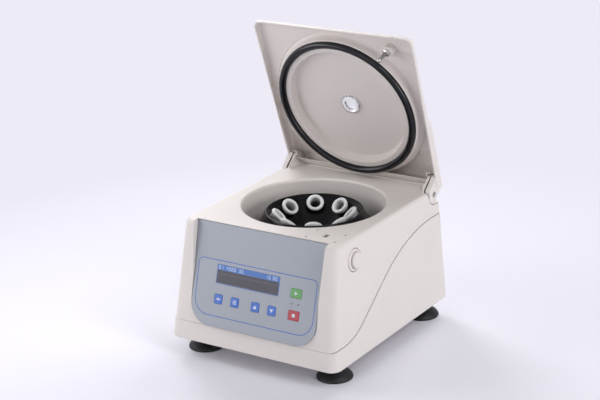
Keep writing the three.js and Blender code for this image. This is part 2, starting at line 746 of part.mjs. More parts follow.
function buildBoards() {
  const board = union(
    box(-85, 85, 55, 140, -17.6, -16),
    box(-60, 30, 95, 130, -16.1, -8),
    rod(6, -16.1, -7, -70, 70, 20),
    rod(6, -16.1, -7, 72, 125, 20),
    box(-20, 20, 62, 84, -16.1, -13),
  );
  addPart("control_board", board, boardGreen, panelMatrix());
  const power = union(
    box(-100, 100, -168, -128, 42, 43.6),
    box(-90, -45, -164, -132, 43.5, 56),
    rod(9, 43.5, 58, -25, -148, 24),
    rod(9, 43.5, 58, -3, -148, 24),
    box(20, 34, -164, -132, 43.5, 55),
    box(-96, -92, -164, -160, 34.6, 42.1),
    box(92, 96, -164, -160, 34.6, 42.1),
    box(-96, -92, -136, -132, 34.6, 42.1),
    box(92, 96, -136, -132, 34.6, 42.1),
  );
  addPart("power_board", power, boardGreen);
}

// Mains socket and rocker switch in the rear wall.
function buildRear() {
  const y = 152.2;
  const shell = union(box(-96, -68, 130, y, 65, 85), box(-100.5, -63.5, y - 0.1, y + 2.4, 61, 89));
  const pocket = box(-93.3, -70.7, 136, y + 5, 67, 83);
  const blades = union(
    box(-90.2, -88.2, 134, y - 1, 73, 77),
    box(-75.8, -73.8, 134, y - 1, 73, 77),
    box(-83, -81, 134, y - 1, 77.5, 81.5),
  );
  addPart("power_inlet", shell.subtract(pocket).add(blades), blackPlastic);
  const frame = union(box(-51, -35, 132, y, 64, 86), box(-53.5, -32.5, y - 0.1, y + 1.8, 61, 89));
  addPart("switch_frame", frame.subtract(box(-49.2, -36.8, 136, y + 5, 65.8, 84.2)), blackPlastic);
  const rocker = sideExtrusion([
    [y - 1, 67.2],
    [y + 1.4, 67],
    [y + 2.2, 75],
    [y + 4.6, 83],
    [y - 1, 82.8],
    [y - 6, 79],
    [y - 8, 75],
    [y - 6, 71],
  ], -48.6, -37.4);
  addPart("switch_rocker", rocker, blackPlastic);
}

function buildButton() {
  const matrix = buttonMatrix();
  addPart("button_bezel", turned([
    [13.6, -3.6],
    [14.6, -1.6],
    [16.4, 0.2],
    [17.2, 0.9],
    [17.7, 0.3],
    [17.7, -4.6],
    [13.6, -6],
  ], 28), shellWhite, matrix);
  addPart("release_button", turned([
    [0, -8],
    [12.8, -8],
    [12.8, 4.4],
    [12.2, 5.5],
    [10.8, 6.1],
    [0, 6.3],
  ], 28), shellWhite, matrix);
  addPart("latch_catch", catchSolid(), steel);
}

function buildRotor() {
  addPart("rotor_body", rotorSolid(), rotorBlack);
  sleeveMatrices().forEach((matrix, i) => {
    addPart("tube_sleeve_" + (i + 1), sleeveSolid(), sleeveWhite, matrix);
  });
  const nut = turned([[0, 152.3], [11, 152.3], [11, 162], [9, 164], [0, 164]], 6);
  addPart("rotor_nut", nut.subtract(rod(SHAFT_RADIUS + 0.2, 150, 170, 0, 0, 24)), chrome);
  addPart("drive_shaft", rod(SHAFT_RADIUS, 97, 166, 0, 0, 24), steel);
}

function buildLid() {
  const hinge = new THREE.Vector3(0, HINGE_Y, HINGE_Z);
  const open = new THREE.Matrix4().makeTranslation(hinge.x, hinge.y, hinge.z);
  open.multiply(new THREE.Matrix4().makeRotationX(-LID_OPEN));
  open.multiply(new THREE.Matrix4().makeTranslation(-hinge.x, -hinge.y, -hinge.z));
  addPart("lid_shell", lidShell(), shellWhite, open);
  addPart("lid_liner", lidLiner(), shellWhite, open);
  addPart("lid_gasket", gasketSolid(), rubber, open);
  addPart("latch_striker", strikerSolid(), chrome, open);
  const flange = [[0, 223], [11, 223.2], [14.6, 223.8], [15.9, 224.7], [15.9, 225.7]];
  const plug = [[13.2, 225.7], [13.2, 232.2], [12, 233.2], [0, 233.4]];
  const port = turned([...flange, ...plug], 28);
  addPart("lid_window", port, glassClear, open);
}

buildHousing();
buildPanel();
buildInside();
buildRear();
buildButton();
buildRotor();
buildLid();

group.position.y = FRAME_SHIFT;

export default group;
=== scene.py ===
import json
import math

import bpy
from mathutils import Matrix, Vector


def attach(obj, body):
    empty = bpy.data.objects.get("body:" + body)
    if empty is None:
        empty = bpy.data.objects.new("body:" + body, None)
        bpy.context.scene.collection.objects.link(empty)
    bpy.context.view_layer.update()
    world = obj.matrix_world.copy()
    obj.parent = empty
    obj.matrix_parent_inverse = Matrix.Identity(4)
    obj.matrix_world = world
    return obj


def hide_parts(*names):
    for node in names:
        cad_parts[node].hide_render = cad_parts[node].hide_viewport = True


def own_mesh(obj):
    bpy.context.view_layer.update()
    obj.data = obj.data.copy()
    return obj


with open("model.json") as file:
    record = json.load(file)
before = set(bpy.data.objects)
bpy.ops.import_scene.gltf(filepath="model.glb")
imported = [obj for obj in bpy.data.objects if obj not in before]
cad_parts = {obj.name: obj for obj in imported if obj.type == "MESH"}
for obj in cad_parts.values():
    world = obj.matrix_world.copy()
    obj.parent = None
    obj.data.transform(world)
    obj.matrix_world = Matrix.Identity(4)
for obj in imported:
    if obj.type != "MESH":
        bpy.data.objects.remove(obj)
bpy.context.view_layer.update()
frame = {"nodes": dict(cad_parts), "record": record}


# The viewpoint
# A long lens from the front right that looks down by 19 degrees, with the camera rolled by two degrees.
# Places are given in millimetres from the rotor axis, which stands AXIS_Y behind the frame's origin.
AXIS_Y = 9.6
VIEW_RIGHT = Vector((0.83956668, 0.54222316, -0.0334938))
VIEW_UP = Vector((-0.15410416, 0.29682573, 0.94241519))
VIEW_BACK = Vector((0.52094117, -0.78605886, 0.33276384))
VIEW_EYE = Vector((1349.0, -2073.7, 1085.9))
VIEW_LENS, FRAME_WIDTH = 103.571, 36.0


def metres(point):
    """A place in the object's own millimetres, as one in Blender's metres."""
    x, y, z = point
    return Vector((x / 1000, (y + AXIS_Y) / 1000, z / 1000))


lens = bpy.data.cameras.new("viewpoint")
lens.sensor_width, lens.lens = FRAME_WIDTH, VIEW_LENS
lens.clip_start, lens.clip_end = 0.05, 50
camera = bpy.data.objects.new("viewpoint", lens)
bpy.context.scene.collection.objects.link(camera)
camera.matrix_world = Matrix.Translation(metres(VIEW_EYE)) @ Matrix(
    (VIEW_RIGHT, VIEW_UP, VIEW_BACK)).transposed().to_4x4()
bpy.context.scene.camera = camera
bpy.context.scene.view_settings.view_transform = "Standard"


# The studio
# A pale sweep of floor and backdrop under seven large soft lamps, strongest from the right and behind. Each
# finish is one node material, and sums on its sockets are written as plain expressions on signals.
FLOOR_PALE, BACKDROP_PALE = (0.80, 0.79, 0.86), (0.850, 0.828, 0.920)
SKY_PALE, SKY_STRENGTH = (0.95, 0.96, 1.0), 0.12
OPEN_FROM, OPEN_OVER = 0.28, 0.6


class Signal:
    """A node's output, with the operators that the finishes use."""

    def __init__(self, tree, socket):
        self.tree, self.socket = tree, socket

    def math(self, operation, other=0.0, swapped=False):
        made = self.tree.nodes.new("ShaderNodeMath")
        made.operation = operation
        for place, value in zip(made.inputs, (other, self) if swapped else (self, other)):
            feed(self.tree, place, value)
        return Signal(self.tree, made.outputs[0])

    def __add__(self, other): return self.math("ADD", other)
    def __radd__(self, other): return self.math("ADD", other)
    def __sub__(self, other): return self.math("SUBTRACT", other)
    def __rsub__(self, other): return self.math("SUBTRACT", other, True)
    def __mul__(self, other): return self.math("MULTIPLY", other)
    def __truediv__(self, other): return self.math("DIVIDE", other)
    def __gt__(self, other): return self.math("GREATER_THAN", other)
    def __lt__(self, other): return self.math("LESS_THAN", other)
    def __abs__(self): return self.math("ABSOLUTE")

    def least(self, other): return self.math("MINIMUM", other)
    def most(self, other): return self.math("MAXIMUM", other)
    def root(self): return self.math("SQRT")


def feed(tree, place, value):
    """Sets an input socket to a value, or links a signal to it."""
    if isinstance(value, Signal):
        tree.links.new(value.socket, place)
    else:
        place.default_value = value


class Finish:
    """A material with one Principled shader and the nodes that feed it."""

    def __init__(self, name, colour, roughness, **constants):
        self.material = bpy.data.materials.new(name)
        self.material.use_nodes = True
        self.tree = self.material.node_tree
        self.shader = self.tree.nodes["Principled BSDF"]
        self.shader.inputs["Base Color"].default_value = (*colour, 1)
        self.shader.inputs["Roughness"].default_value = roughness
        for label, value in constants.items():
            self.shader.inputs[label.replace("_", " ")].default_value = value
        self.place = self.node("ShaderNodeTexCoord")["Object"]

    def node(self, kind, settings=None, inputs=None):
        made = self.tree.nodes.new(kind)
        for label, value in (settings or {}).items():
            setattr(made, label, value)
        for label, value in (inputs or {}).items():
            feed(self.tree, made.inputs[label], value)
        return {out.name: Signal(self.tree, out) for out in made.outputs}

    def noise(self, scale, detail=2.0):
        return self.node("ShaderNodeTexNoise", None, {
            "Vector": self.place, "Scale": scale, "Detail": detail})["Fac"]

    def mix(self, share, first, second):
        """A colour between two colours or colour signals."""
        made = self.tree.nodes.new("ShaderNodeMix")
        made.data_type = "RGBA"
        feed(self.tree, made.inputs[0], share)
        for place, value in ((made.inputs[6], first), (made.inputs[7], second)):
            feed(self.tree, place, value if isinstance(value, Signal) else (*value, 1))
        return Signal(self.tree, made.outputs[2])

    def drive(self, label, value):
        feed(self.tree, self.shader.inputs[label], value)

    def bump(self, height, distance, strength=1.0):
        made = self.node("ShaderNodeBump", None, {"Height": height, "Distance": distance, "Strength": strength})
        self.drive("Normal", made["Normal"])


def area_lamp(name, place, target, size, power):
    """A round soft lamp, aimed at a target; places in metres, power in watts."""
    data = bpy.data.lights.new(name, "AREA")
    data.shape, data.size, data.energy = "DISK", size, power
    lamp = bpy.data.objects.new(name, data)
    bpy.context.scene.collection.objects.link(lamp)
    lamp.location = Vector(place)
    lamp.rotation_mode = "QUATERNION"
    lamp.rotation_quaternion = (Vector(target) - Vector(place)).to_track_quat("-Z", "Y")


def sweep_mesh():
    """A floor that runs flat under the object and curves up far behind it, in metres."""
    near, far, bend, top, half_width = -6.0, 2.2, 1.5, 7.0, 7.0
    profile = [(near, 0.0), (far, 0.0)]
    profile += [(far + bend * math.sin(a), bend - bend * math.cos(a)) for a in
                (math.radians(d) for d in range(6, 91, 6))] + [(far + bend, top)]
    across = Vector((VIEW_BACK.y, -VIEW_BACK.x, 0)).normalized()
    away = Vector((-VIEW_BACK.x, -VIEW_BACK.y, 0)).normalized()
    points, faces = [], []
    for distance, height in profile:
        for side in (-half_width, half_width):
            points.append(away * distance + across * side + Vector((0, 0, height)))
    for i in range(len(profile) - 1):
        faces.append((2 * i, 2 * i + 1, 2 * i + 3, 2 * i + 2))
    mesh = bpy.data.meshes.new("sweep")
    mesh.from_pydata(points, [], faces)
    mesh.shade_smooth()
    return mesh


floor = bpy.data.objects.new("sweep", sweep_mesh())
bpy.context.scene.collection.objects.link(floor)
paper = Finish("studio_paper", FLOOR_PALE, 0.9)
spot = paper.node("ShaderNodeSeparateXYZ", None, {"Vector": paper.place})
rays = paper.node("ShaderNodeLightPath")
seen = rays["Is Camera Ray"].most(rays["Is Glossy Ray"]).most(rays["Is Transmission Ray"])
away = (spot["X"] * spot["X"] + spot["Y"] * spot["Y"]).root() + spot["Z"]
open_share = ((away - OPEN_FROM) / OPEN_OVER).most(0.0).least(1.0) * 0.97 + 0.02
glow = paper.node("ShaderNodeEmission", None, {"Color": (*BACKDROP_PALE, 1), "Strength": 1.0})["Emission"]
paper.node("ShaderNodeMixShader", None, {"Fac": seen * open_share})
blend = paper.tree.nodes["Mix Shader"]
paper.tree.links.new(paper.shader.outputs[0], blend.inputs[1])
paper.tree.links.new(glow.socket, blend.inputs[2])
paper.tree.links.new(blend.outputs[0], paper.tree.nodes["Material Output"].inputs["Surface"])
floor.data.materials.append(paper.material)

world = bpy.data.worlds.new("studio")
world.use_nodes = True
bpy.context.scene.world = world
sky = world.node_tree.nodes["Background"]
sky.inputs["Color"].default_value = (*SKY_PALE, 1)
sky.inputs["Strength"].default_value = SKY_STRENGTH
air = world.node_tree.nodes
backdrop, choice = air.new("ShaderNodeBackground"), air.new("ShaderNodeMixShader")
path = air.new("ShaderNodeLightPath")
backdrop.inputs["Color"].default_value = (*BACKDROP_PALE, 1)
any_ray = Signal(world.node_tree, path.outputs["Is Camera Ray"]).most(
    Signal(world.node_tree, path.outputs["Is Glossy Ray"])).most(
    Signal(world.node_tree, path.outputs["Is Transmission Ray"]))
feed(world.node_tree, choice.inputs[0], any_ray)
feed(world.node_tree, choice.inputs[1], Signal(world.node_tree, sky.outputs[0]))
feed(world.node_tree, choice.inputs[2], Signal(world.node_tree, backdrop.outputs[0]))
feed(world.node_tree, air["World Output"].inputs["Surface"], Signal(world.node_tree, choice.outputs[0]))
area_lamp("right_low", (2.6, -0.3, 0.7), (0, 0, 0.15), 1.4, 25)
area_lamp("right_high", (1.9, -0.4, 2.1), (0, 0, 0.15), 1.2, 21)
area_lamp("front", (0.3, -2.8, 1.2), (0, 0, 0.2), 1.6, 8)
area_lamp("left_back", (-1.6, 1.2, 1.6), (0, 0, 0.2), 1.2, 30)
area_lamp("back_top", (0.2, 2.2, 2.4), (0, 0, 0.2), 1.6, 34)
area_lamp("left_near", (-0.95, -0.55, 0.75), (0, 0, 0.2), 0.7, 5.5)
area_lamp("left_front", (-1.6, -2.4, 0.6), (0, 0, 0.2), 1.4, 15)


# Top cover
# The upper half of the housing: one injection moulding with deck, well wall, panel recess and hinge
# towers. It sits on the lower shell along the S-shaped seam and is screwed to it from below.
BASE_Z, DECK_Z = 29.0, 209.2
HALF_WIDTH, SIDE_DRAFT = 147.06, 0.0623
FRONT_Y, FRONT_SLOPE = -185.84, 0.1867
REAR_Y, REAR_SLOPE = 152.44, 0.0163
FRONT_CORNER, REAR_CORNER = 16.0, 10.0
WALL = 3.0
PANEL_FOOT_Y, PANEL_TILT, PANEL_THICK = -193.56, math.atan(0.296), 2.2
WELL_RADIUS, LIP_RADIUS, WELL_BOTTOM = 109.6, 4.0, 152.0
HINGE_Y, HINGE_Z = 131.6, 201.75
LUG_RADIUS = 14.6
TOWER_INNER, TOWER_OUTER = 121.6, 126.4
LATCH_X, LATCH_Y = 93.8, -115.5
BUTTON_Y, BUTTON_Z = -110.0, 178.0
STILL = Matrix.Identity(4)


def raw(points, faces, matrix=STILL):
    """A mesh object from points in millimetres, moved by a matrix that also works in millimetres."""
    mesh = bpy.data.meshes.new("raw")
    mesh.from_pydata([metres(matrix @ Vector(p)) for p in points], [], faces)
    made = bpy.data.objects.new("raw", mesh)
    bpy.context.scene.collection.objects.link(made)
    return made


def arc(cx, cy, radius, start, end, steps):
    """Points along a circle, between two angles in degrees."""
    return [(cx + radius * math.cos(math.radians(start + (end - start) * i / steps)),
             cy + radius * math.sin(math.radians(start + (end - start) * i / steps)))
            for i in range(steps + 1)]


def rounded(corners, radii, steps):
    """A closed plan outline, anticlockwise, with each corner rounded."""
    outline = []
    for i, corner in enumerate(corners):
        corner = Vector(corner)
        before = (Vector(corners[i - 1]) - corner).normalized()
        after = (Vector(corners[(i + 1) % len(corners)]) - corner).normalized()
        half = math.acos(before.dot(after)) / 2
        centre = corner + (before + after).normalized() * radii[i] / math.sin(half)
        start = corner + before * radii[i] / math.tan(half) - centre
        for k in range(steps + 1):
            a = (math.pi - 2 * half) * k / steps
            outline.append(centre + Vector((start.x * math.cos(a) - start.y * math.sin(a),
                                            start.x * math.sin(a) + start.y * math.cos(a))))
    return outline


def ring(z, front, rear, half_front, half_rear, r_front, r_rear):
    """A level four-cornered outline with rounded corners, which may taper towards the rear."""
    corners = [(-half_front, front), (half_front, front), (half_rear, rear), (-half_rear, rear)]
    return [(p.x, p.y, z) for p in rounded(corners, (r_front, r_front, r_rear, r_rear), 8)]


def stacked(rings, matrix=STILL):
    """A closed skin over rings of equal count, lowest first."""
    count = len(rings[0])
    points = [p for one in rings for p in one]
    faces = [tuple(range(count))[::-1], tuple(range(len(points) - count, len(points)))]
    for k in range(len(rings) - 1):
        for i in range(count):
            j = (i + 1) % count
            faces.append((k * count + i, k * count + j, (k + 1) * count + j, (k + 1) * count + i))
    return raw(points, faces, matrix)


def pushed(outline, low, high, matrix=STILL):
    """A flat outline, anticlockwise, given thickness between two heights."""
    return stacked([[(x, y, low) for x, y in outline], [(x, y, high) for x, y in outline]], matrix)


def slabbed(outline, x0, x1):
    """An outline of (y, z) pairs, anticlockwise seen from +X, pushed along X."""
    return stacked([[(x0, y, z) for y, z in outline], [(x1, y, z) for y, z in outline]])


def turned(profile, segments=128, matrix=STILL):
    """A closed outline of (radius, height) pairs turned about the upright axis."""
    points, faces, where = [], [], []
    for radius, height in profile:
        if radius < 1e-6:
            where.append([len(points)] * segments)
            points.append((0, 0, height))
        else:
            where.append(list(range(len(points), len(points) + segments)))
            points += [(radius * math.cos(2 * math.pi * i / segments),
                        radius * math.sin(2 * math.pi * i / segments), height) for i in range(segments)]
    for k, low in enumerate(where):
        high = where[(k + 1) % len(where)]
        for i in range(segments):
            j = (i + 1) % segments
            face = list(dict.fromkeys((low[i], low[j], high[j], high[i])))
            if len(face) > 2:
                faces.append(tuple(face))
    made = raw(points, faces, matrix)
    area = sum(a[0] * b[1] - b[0] * a[1] for a, b in zip(profile, profile[1:] + profile[:1]))
    if area < 0:
        made.data.flip_normals()
    return made


def rod(radius, low, high, x=0.0, y=0.0, segments=64, matrix=STILL):
    """An upright cylinder."""
    place = matrix @ Matrix.Translation((x, y, 0))
    return turned([(0, low), (radius, low), (radius, high), (0, high)], segments, place)


def cross_rod(radius, x0, x1, y, z, segments=64):
    """A cylinder along X."""
    place = Matrix.Translation((0, y, z)) @ Matrix.Rotation(math.pi / 2, 4, "Y")
    return rod(radius, x0, x1, 0, 0, segments, place)


def brick(x0, x1, y0, y1, z0, z1, matrix=STILL):
    """A plain block between two places each way."""
    return pushed([(x0, y0), (x1, y0), (x1, y1), (x0, y1)], z0, z1, matrix)


def combine(piece, operation, *tools):
    """Joins, cuts or intersects a piece with others, which are used up."""
    for tool in tools:
        step = piece.modifiers.new("step", "BOOLEAN")
        step.operation, step.solver, step.object = operation, "MANIFOLD", tool
        seen_now = piece.evaluated_get(bpy.context.evaluated_depsgraph_get())
        mesh = bpy.data.meshes.new_from_object(seen_now)
        piece.modifiers.clear()
        piece.data = mesh
        bpy.data.objects.remove(tool)
    return piece


def cut(piece, *tools): return combine(piece, "DIFFERENCE", *tools)
def join(piece, *tools): return combine(piece, "UNION", *tools)
def common(piece, *tools): return combine(piece, "INTERSECT", *tools)


def fitted(piece, name, body, material, slot, *nodes, crease=32):
    """Names a finished mesh, shades it, and puts it in its place on the object."""
    piece.name = piece.data.name = name
    piece.data.materials.clear()
    piece.data.materials.append(material)
    piece.data.shade_smooth()
    piece.data.set_sharp_from_angle(angle=math.radians(crease))
    even = piece.modifiers.new("even", "WEIGHTED_NORMAL")
    even.keep_sharp = True
    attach(piece, body)
    if nodes:
        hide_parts(*nodes)


def body_section(z, side, front=None, rear=None):
    """The housing's outline at a height, with its drafted walls moved in by side, front and rear."""
    front = side if front is None else front
    rear = side if rear is None else rear
    half = HALF_WIDTH - SIDE_DRAFT * (z - BASE_Z) - side
    return ring(z, FRONT_Y + FRONT_SLOPE * (z - BASE_Z) + front, REAR_Y - REAR_SLOPE * (z - BASE_Z) - rear,
                half, half, max(FRONT_CORNER - side, 5), max(REAR_CORNER - side, 4))


def seam_line(shift, front_shift=None):
    """The S-curve as (y, z) pairs, moved square to itself, with its own shift along the front."""
    points = [(-205, 57.2), (-182, 57.2), (-176, 57.7), (-167, 60.5)]
    points += arc(-160, 170.5, 110, -90, -56.6, 24) + arc(120, -108.6, 277, 123.4, 90, 36) + [(200, 168.4)]
    line = []
    for i, (y, z) in enumerate(points):
        before, after = Vector(points[max(i - 1, 0)]), Vector(points[min(i + 1, len(points) - 1)])
        along = (after - before).normalized()
        move = front_shift if front_shift is not None and y < -176 else shift
        line.append((y - along.y * move, z + along.x * move))
    return line


def above_seam(shift, front_shift=None):
    """All the space above the moved seam."""
    return slabbed(seam_line(shift, front_shift) + [(200, 270), (-205, 270)], -160, 160)


def moulded(name, colour, grain=2600.0, depth=0.00003, roughness=0.46):
    """Injection-moulded plastic: fine spark texture, faint mottling, slightly uneven gloss."""
    finish = Finish(name, colour, roughness)
    cloud = finish.noise(14.0, 3.0)
    grains = finish.noise(grain, 1.0)
    darker = tuple(c * 0.955 for c in colour)
    lighter = tuple(min(1.0, c * 1.02) for c in colour)
    finish.drive("Base Color", finish.mix(cloud, darker, lighter))
    finish.drive("Roughness", roughness - 0.05 + cloud * 0.08 + grains * 0.03)
    finish.bump(grains, depth, 0.5)
    return finish.material


shell_plastic = moulded("shell_plastic", (0.735, 0.688, 0.660))
ON_PANEL = Matrix.Translation((0, PANEL_FOOT_Y, BASE_Z)) @ Matrix.Rotation(math.pi / 2 - PANEL_TILT, 4, "X")


def panel_outline(grow, steps=12, sink=None):
    """The panel's outline, moved outwards by grow, and at its foot by sink where that is given."""
    half, bottom, r = 110.8 + grow, 32.3 - (grow if sink is None else sink), 33.0
    points = arc(-half + r, bottom + r, r, 180, 270, steps) + arc(half - r, bottom + r, r, 270, 360, steps)
    return points + [(half, 105), (115.5 + grow, 187.4 + grow), (-115.5 - grow, 187.4 + grow), (-half, 105)]


def rounded_box(x0, x1, y0, y1, r):
    """An oblong outline with equal rounded corners."""
    return [tuple(p) for p in rounded([(x0, y0), (x1, y0), (x1, y1), (x0, y1)], (r,) * 4, 5)]


def mirrored(sign, x0, x1):
    """Two places across, in order, on the left (-1) or right (1) side."""
    return sorted((sign * x0, sign * x1))


TOWER_SIDE = [(116.0, 205), (149.2, 205), (149.0, 222), (148.2, 226.2), (146.2, 228.6), (143.4, 229.2),
              (140.6, 228.6), (137.6, 226.8), (119.2, 210.8), (116.6, 208.4)]
TOWER_FACE, WEB_RADIUS, NOTCH_GAP = TOWER_OUTER - 1.1, 18.8, 2.3
WEB_FOOT = [(122.6, 205), (122.6, 220), (121.5, 219.5), (119.6, 216), (117.4, 213.2), (114.6, 211.2),
            (111.6, 210), (108, 209.3), (106, 205)]
WEB_GROWTH = ((118, 0.02), (124, 0.1), (130, 0.25), (136, 0.5), (142, 0.8), (148.2, 1.0))


def tower(sign):
    """A plate beside the ear, with a low curved web at its rear foot."""
    plate = slabbed(TOWER_SIDE, *mirrored(sign, TOWER_INNER, TOWER_FACE))
    edge, deck = WEB_FOOT[0]
    sections = []
    for y, share in WEB_GROWTH[::sign]:
        sections.append([(sign * (edge - (edge - x) * (share if z > deck else 1)), y, z) for x, z in WEB_FOOT])
    web = common(stacked(sections), cross_rod(WEB_RADIUS, -130, 130, HINGE_Y, HINGE_Z))
    return join(plate, web)


def ear_notch(sign):
    """The room in the cover's rear corner that the lid's ear turns in."""
    r = LUG_RADIUS + NOTCH_GAP
    x0, x1 = mirrored(sign, TOWER_OUTER - 0.1, 160)
    front = slabbed([(113.4, 200), (170, 200), (170, 240), (109.8, 240), (109.8, 212)], x0, x1)
    return join(cross_rod(r, x0, x1, HINGE_Y, HINGE_Z), front, brick(x0, x1, HINGE_Y, 170, HINGE_Z - r, 240))


def cover_block():
    """The cover as a solid block, its top edge rolled over."""
    edge, stack = 6.0, [body_section(40, 0)]
    for angle in range(0, 91, 15):
        inset = 1 - math.cos(math.radians(angle))
        z = DECK_Z - edge * (1 - math.sin(math.radians(angle)))
        stack.append(body_section(z, edge * inset, 8 * inset, 5 * inset))
    return stacked(stack)


TO_BUTTON = Matrix.Translation((HALF_WIDTH - SIDE_DRAFT * (BUTTON_Z - BASE_Z), BUTTON_Y, BUTTON_Z))
TO_BUTTON = TO_BUTTON @ Matrix.Rotation(math.pi / 2 - math.atan(SIDE_DRAFT), 4, "Y")
SCREW_SPOTS = [(LATCH_X + x, LATCH_Y + y) for x, y in ((-24, -15), (24, -15), (24, 15), (-24, 15))]
SEAM_OPEN, SEAM_OPEN_FRONT = 1.3, 0.03
TRAY_RIM, TRAY_THICK, PANEL_GAP = 6, 3.5, 0.3
DECK_UNDER, DECK_FILLET = 206, 201
BEAD_RADIUS, BEAD_HALF, BEAD_Y, BEAD_Z = 1.3, 121, 147.0, 209.3
LATCH_HALF_X, LATCH_HALF_Y = 4, 6
COLLAR_ROOM = 17.8

cover = cover_block()
cavity = stacked([body_section(35, WALL), body_section(DECK_FILLET, WALL), body_section(DECK_UNDER, 7)])
cover = cut(cover, cavity)
tray = pushed(panel_outline(TRAY_RIM), -PANEL_THICK - TRAY_THICK, 12, ON_PANEL)
cover = join(cover, common(tray, cover_block()))
for sign in (-1, 1):
    x0, x1 = mirrored(sign, TOWER_INNER, 137)
    cover = join(cover, common(brick(x0, x1, 111, 149.5, 181, 207), cover_block()), tower(sign))
cover = common(cover, above_seam(SEAM_OPEN, SEAM_OPEN_FRONT))
cover = cut(cover, pushed(panel_outline(PANEL_GAP), -PANEL_THICK - PANEL_GAP, 30, ON_PANEL))
cover = cut(cover, rod(WELL_RADIUS + LIP_RADIUS + 0.6, 180, 230, segments=144))
well = arc(WELL_RADIUS + LIP_RADIUS, DECK_Z - LIP_RADIUS, LIP_RADIUS, 180, 90, 9)
well += [(116, DECK_Z), (116, 205.5), (WELL_RADIUS + WALL, 201), (WELL_RADIUS + WALL - 0.6, WELL_BOTTOM)]
cover = join(cover, turned(well + [(WELL_RADIUS - 0.6, WELL_BOTTOM)], 144))
cover = join(cover, cross_rod(BEAD_RADIUS, -BEAD_HALF, BEAD_HALF, BEAD_Y, BEAD_Z, 24))
cover = cut(cover, ear_notch(1), ear_notch(-1))
latch_slot = rounded_box(LATCH_X - LATCH_HALF_X, LATCH_X + LATCH_HALF_X,
                         LATCH_Y - LATCH_HALF_Y, LATCH_Y + LATCH_HALF_Y, 1.5)
cover = cut(cover, pushed(latch_slot, 195, 220))
cover = cut(cover, rod(COLLAR_ROOM, -9, 9, matrix=TO_BUTTON))
SCREW_SEAT = [(0, 200), (1.9, 200), (1.9, DECK_Z - 1.0), (3.0, DECK_Z + 0.1), (3.0, 215), (0, 215)]
cover = cut(cover, *[turned(SCREW_SEAT, 24, Matrix.Translation((x, y, 0))) for x, y in SCREW_SPOTS])
fitted(cover, "cover", "housing", shell_plastic, "shell", "top_cover")


# Lower shell
# The lower half of the housing, moulded in the same plastic. Its side walls stand a little proud of the
# cover under the seam, and a tongue behind the seam locates the cover. The rear wall has cooling slots.
SIDE_STEP = 1.3
FOOT_EDGE = ((0, 1.8, 1.6), (0.5, 0.8, 0.7), (1.3, 0.2, 0.2), (2.4, 0, 0), (175 - BASE_Z, 0, 0))
low_rings = [body_section(BASE_Z + rise, side - SIDE_STEP, end, end) for rise, side, end in FOOT_EDGE]
LOWER_INSIDE, TONGUE_OUTSIDE, TONGUE_INSIDE = 3.7, 3.3, 5.6
TONGUE_RISE, TONGUE_ROOT = 4, 6


def below_seam(shift):
    """All the space below the moved seam."""
    return slabbed([(-205, 5), (200, 5)] + seam_line(shift)[::-1], -160, 160)


def tray_room():
    """The room that the cover's panel tray takes from the lower shell."""
    return pushed(panel_outline(TRAY_RIM + 2), -PANEL_THICK - TRAY_THICK - 0.4, 30, ON_PANEL)


inside = stacked([body_section(BASE_Z + WALL, LOWER_INSIDE), body_section(180, LOWER_INSIDE)])
lower = common(cut(stacked(low_rings), inside), below_seam(0))
tongue = cut(stacked([body_section(50, TONGUE_OUTSIDE), body_section(180, TONGUE_OUTSIDE)]),
             stacked([body_section(45, TONGUE_INSIDE), body_section(185, TONGUE_INSIDE)]))
tongue = cut(common(tongue, below_seam(TONGUE_RISE), above_seam(-TONGUE_ROOT)), tray_room())
lower = cut(join(lower, tongue), common(tray_room(), above_seam(0)))
INLET_HOLE, SWITCH_HOLE = (-96.2, -67.8, 140, 160, 64.8, 85.2), (-51.2, -34.8, 140, 160, 63.8, 86.2)
lower = cut(lower, brick(*INLET_HOLE), brick(*SWITCH_HOLE))
SLOT_ROWS, SLOT_PITCH, SLOT_HEIGHT, SLOT_LOW = 7, 11, 4.2, 66
for row in range(SLOT_ROWS):
    for x0, x1 in ((15, 57), (67, 109)):
        z = SLOT_LOW + row * SLOT_PITCH
        outline = rounded_box(x0, x1, z, z + SLOT_HEIGHT, 1.6)
        lower = cut(lower, stacked([[(x, y, h) for x, h in outline][::-1] for y in (140, 160)]))
fitted(lower, "lower_shell", "housing", shell_plastic, "shell", "base_shell")


# Feet
# Four black rubber cups, moulded over a steel stud and screwed into the lower shell. They grip the bench,
# and their waist lets them give a little when the rotor runs out of balance.
rubber = Finish("foot_rubber", (0.006, 0.006, 0.0065), 0.5, Specular_IOR_Level=0.3)
rubber.drive("Roughness", 0.44 + rubber.noise(60.0, 3.0) * 0.16)
rubber.bump(rubber.noise(1800.0, 2.0), 0.00004, 0.5)
FOOT_PROFILE = [(0, 3.4), (18.5, 3.4), (21.6, 1.0), (23, 0), (26.6, 0), (27.1, 0.3), (27.4, 1.0), (27.4, 1.8),
                (27.1, 3.0), (26.2, 4.6), (24.7, 6.3), (22.8, 8.2), (20.4, 10.0), (18.2, 11.8), (16.5, 13.8),
                (15.5, 16), (15, 18.5), (15, 28.7), (0, 28.7)]
FOOT_SIDE, FOOT_FRONT, FOOT_REAR = 115.1, -136.6, 123.8
foot_places = [(side * FOOT_SIDE, y) for y in (FOOT_FRONT, FOOT_REAR) for side in (1, -1)]
for i, (x, y) in enumerate(foot_places, 1):
    foot = turned(FOOT_PROFILE, 72, Matrix.Translation((x, y, 0)))
    fitted(foot, f"rubber_foot_{i}", "housing", rubber.material, "rubber", f"foot_{i}", crease=50)


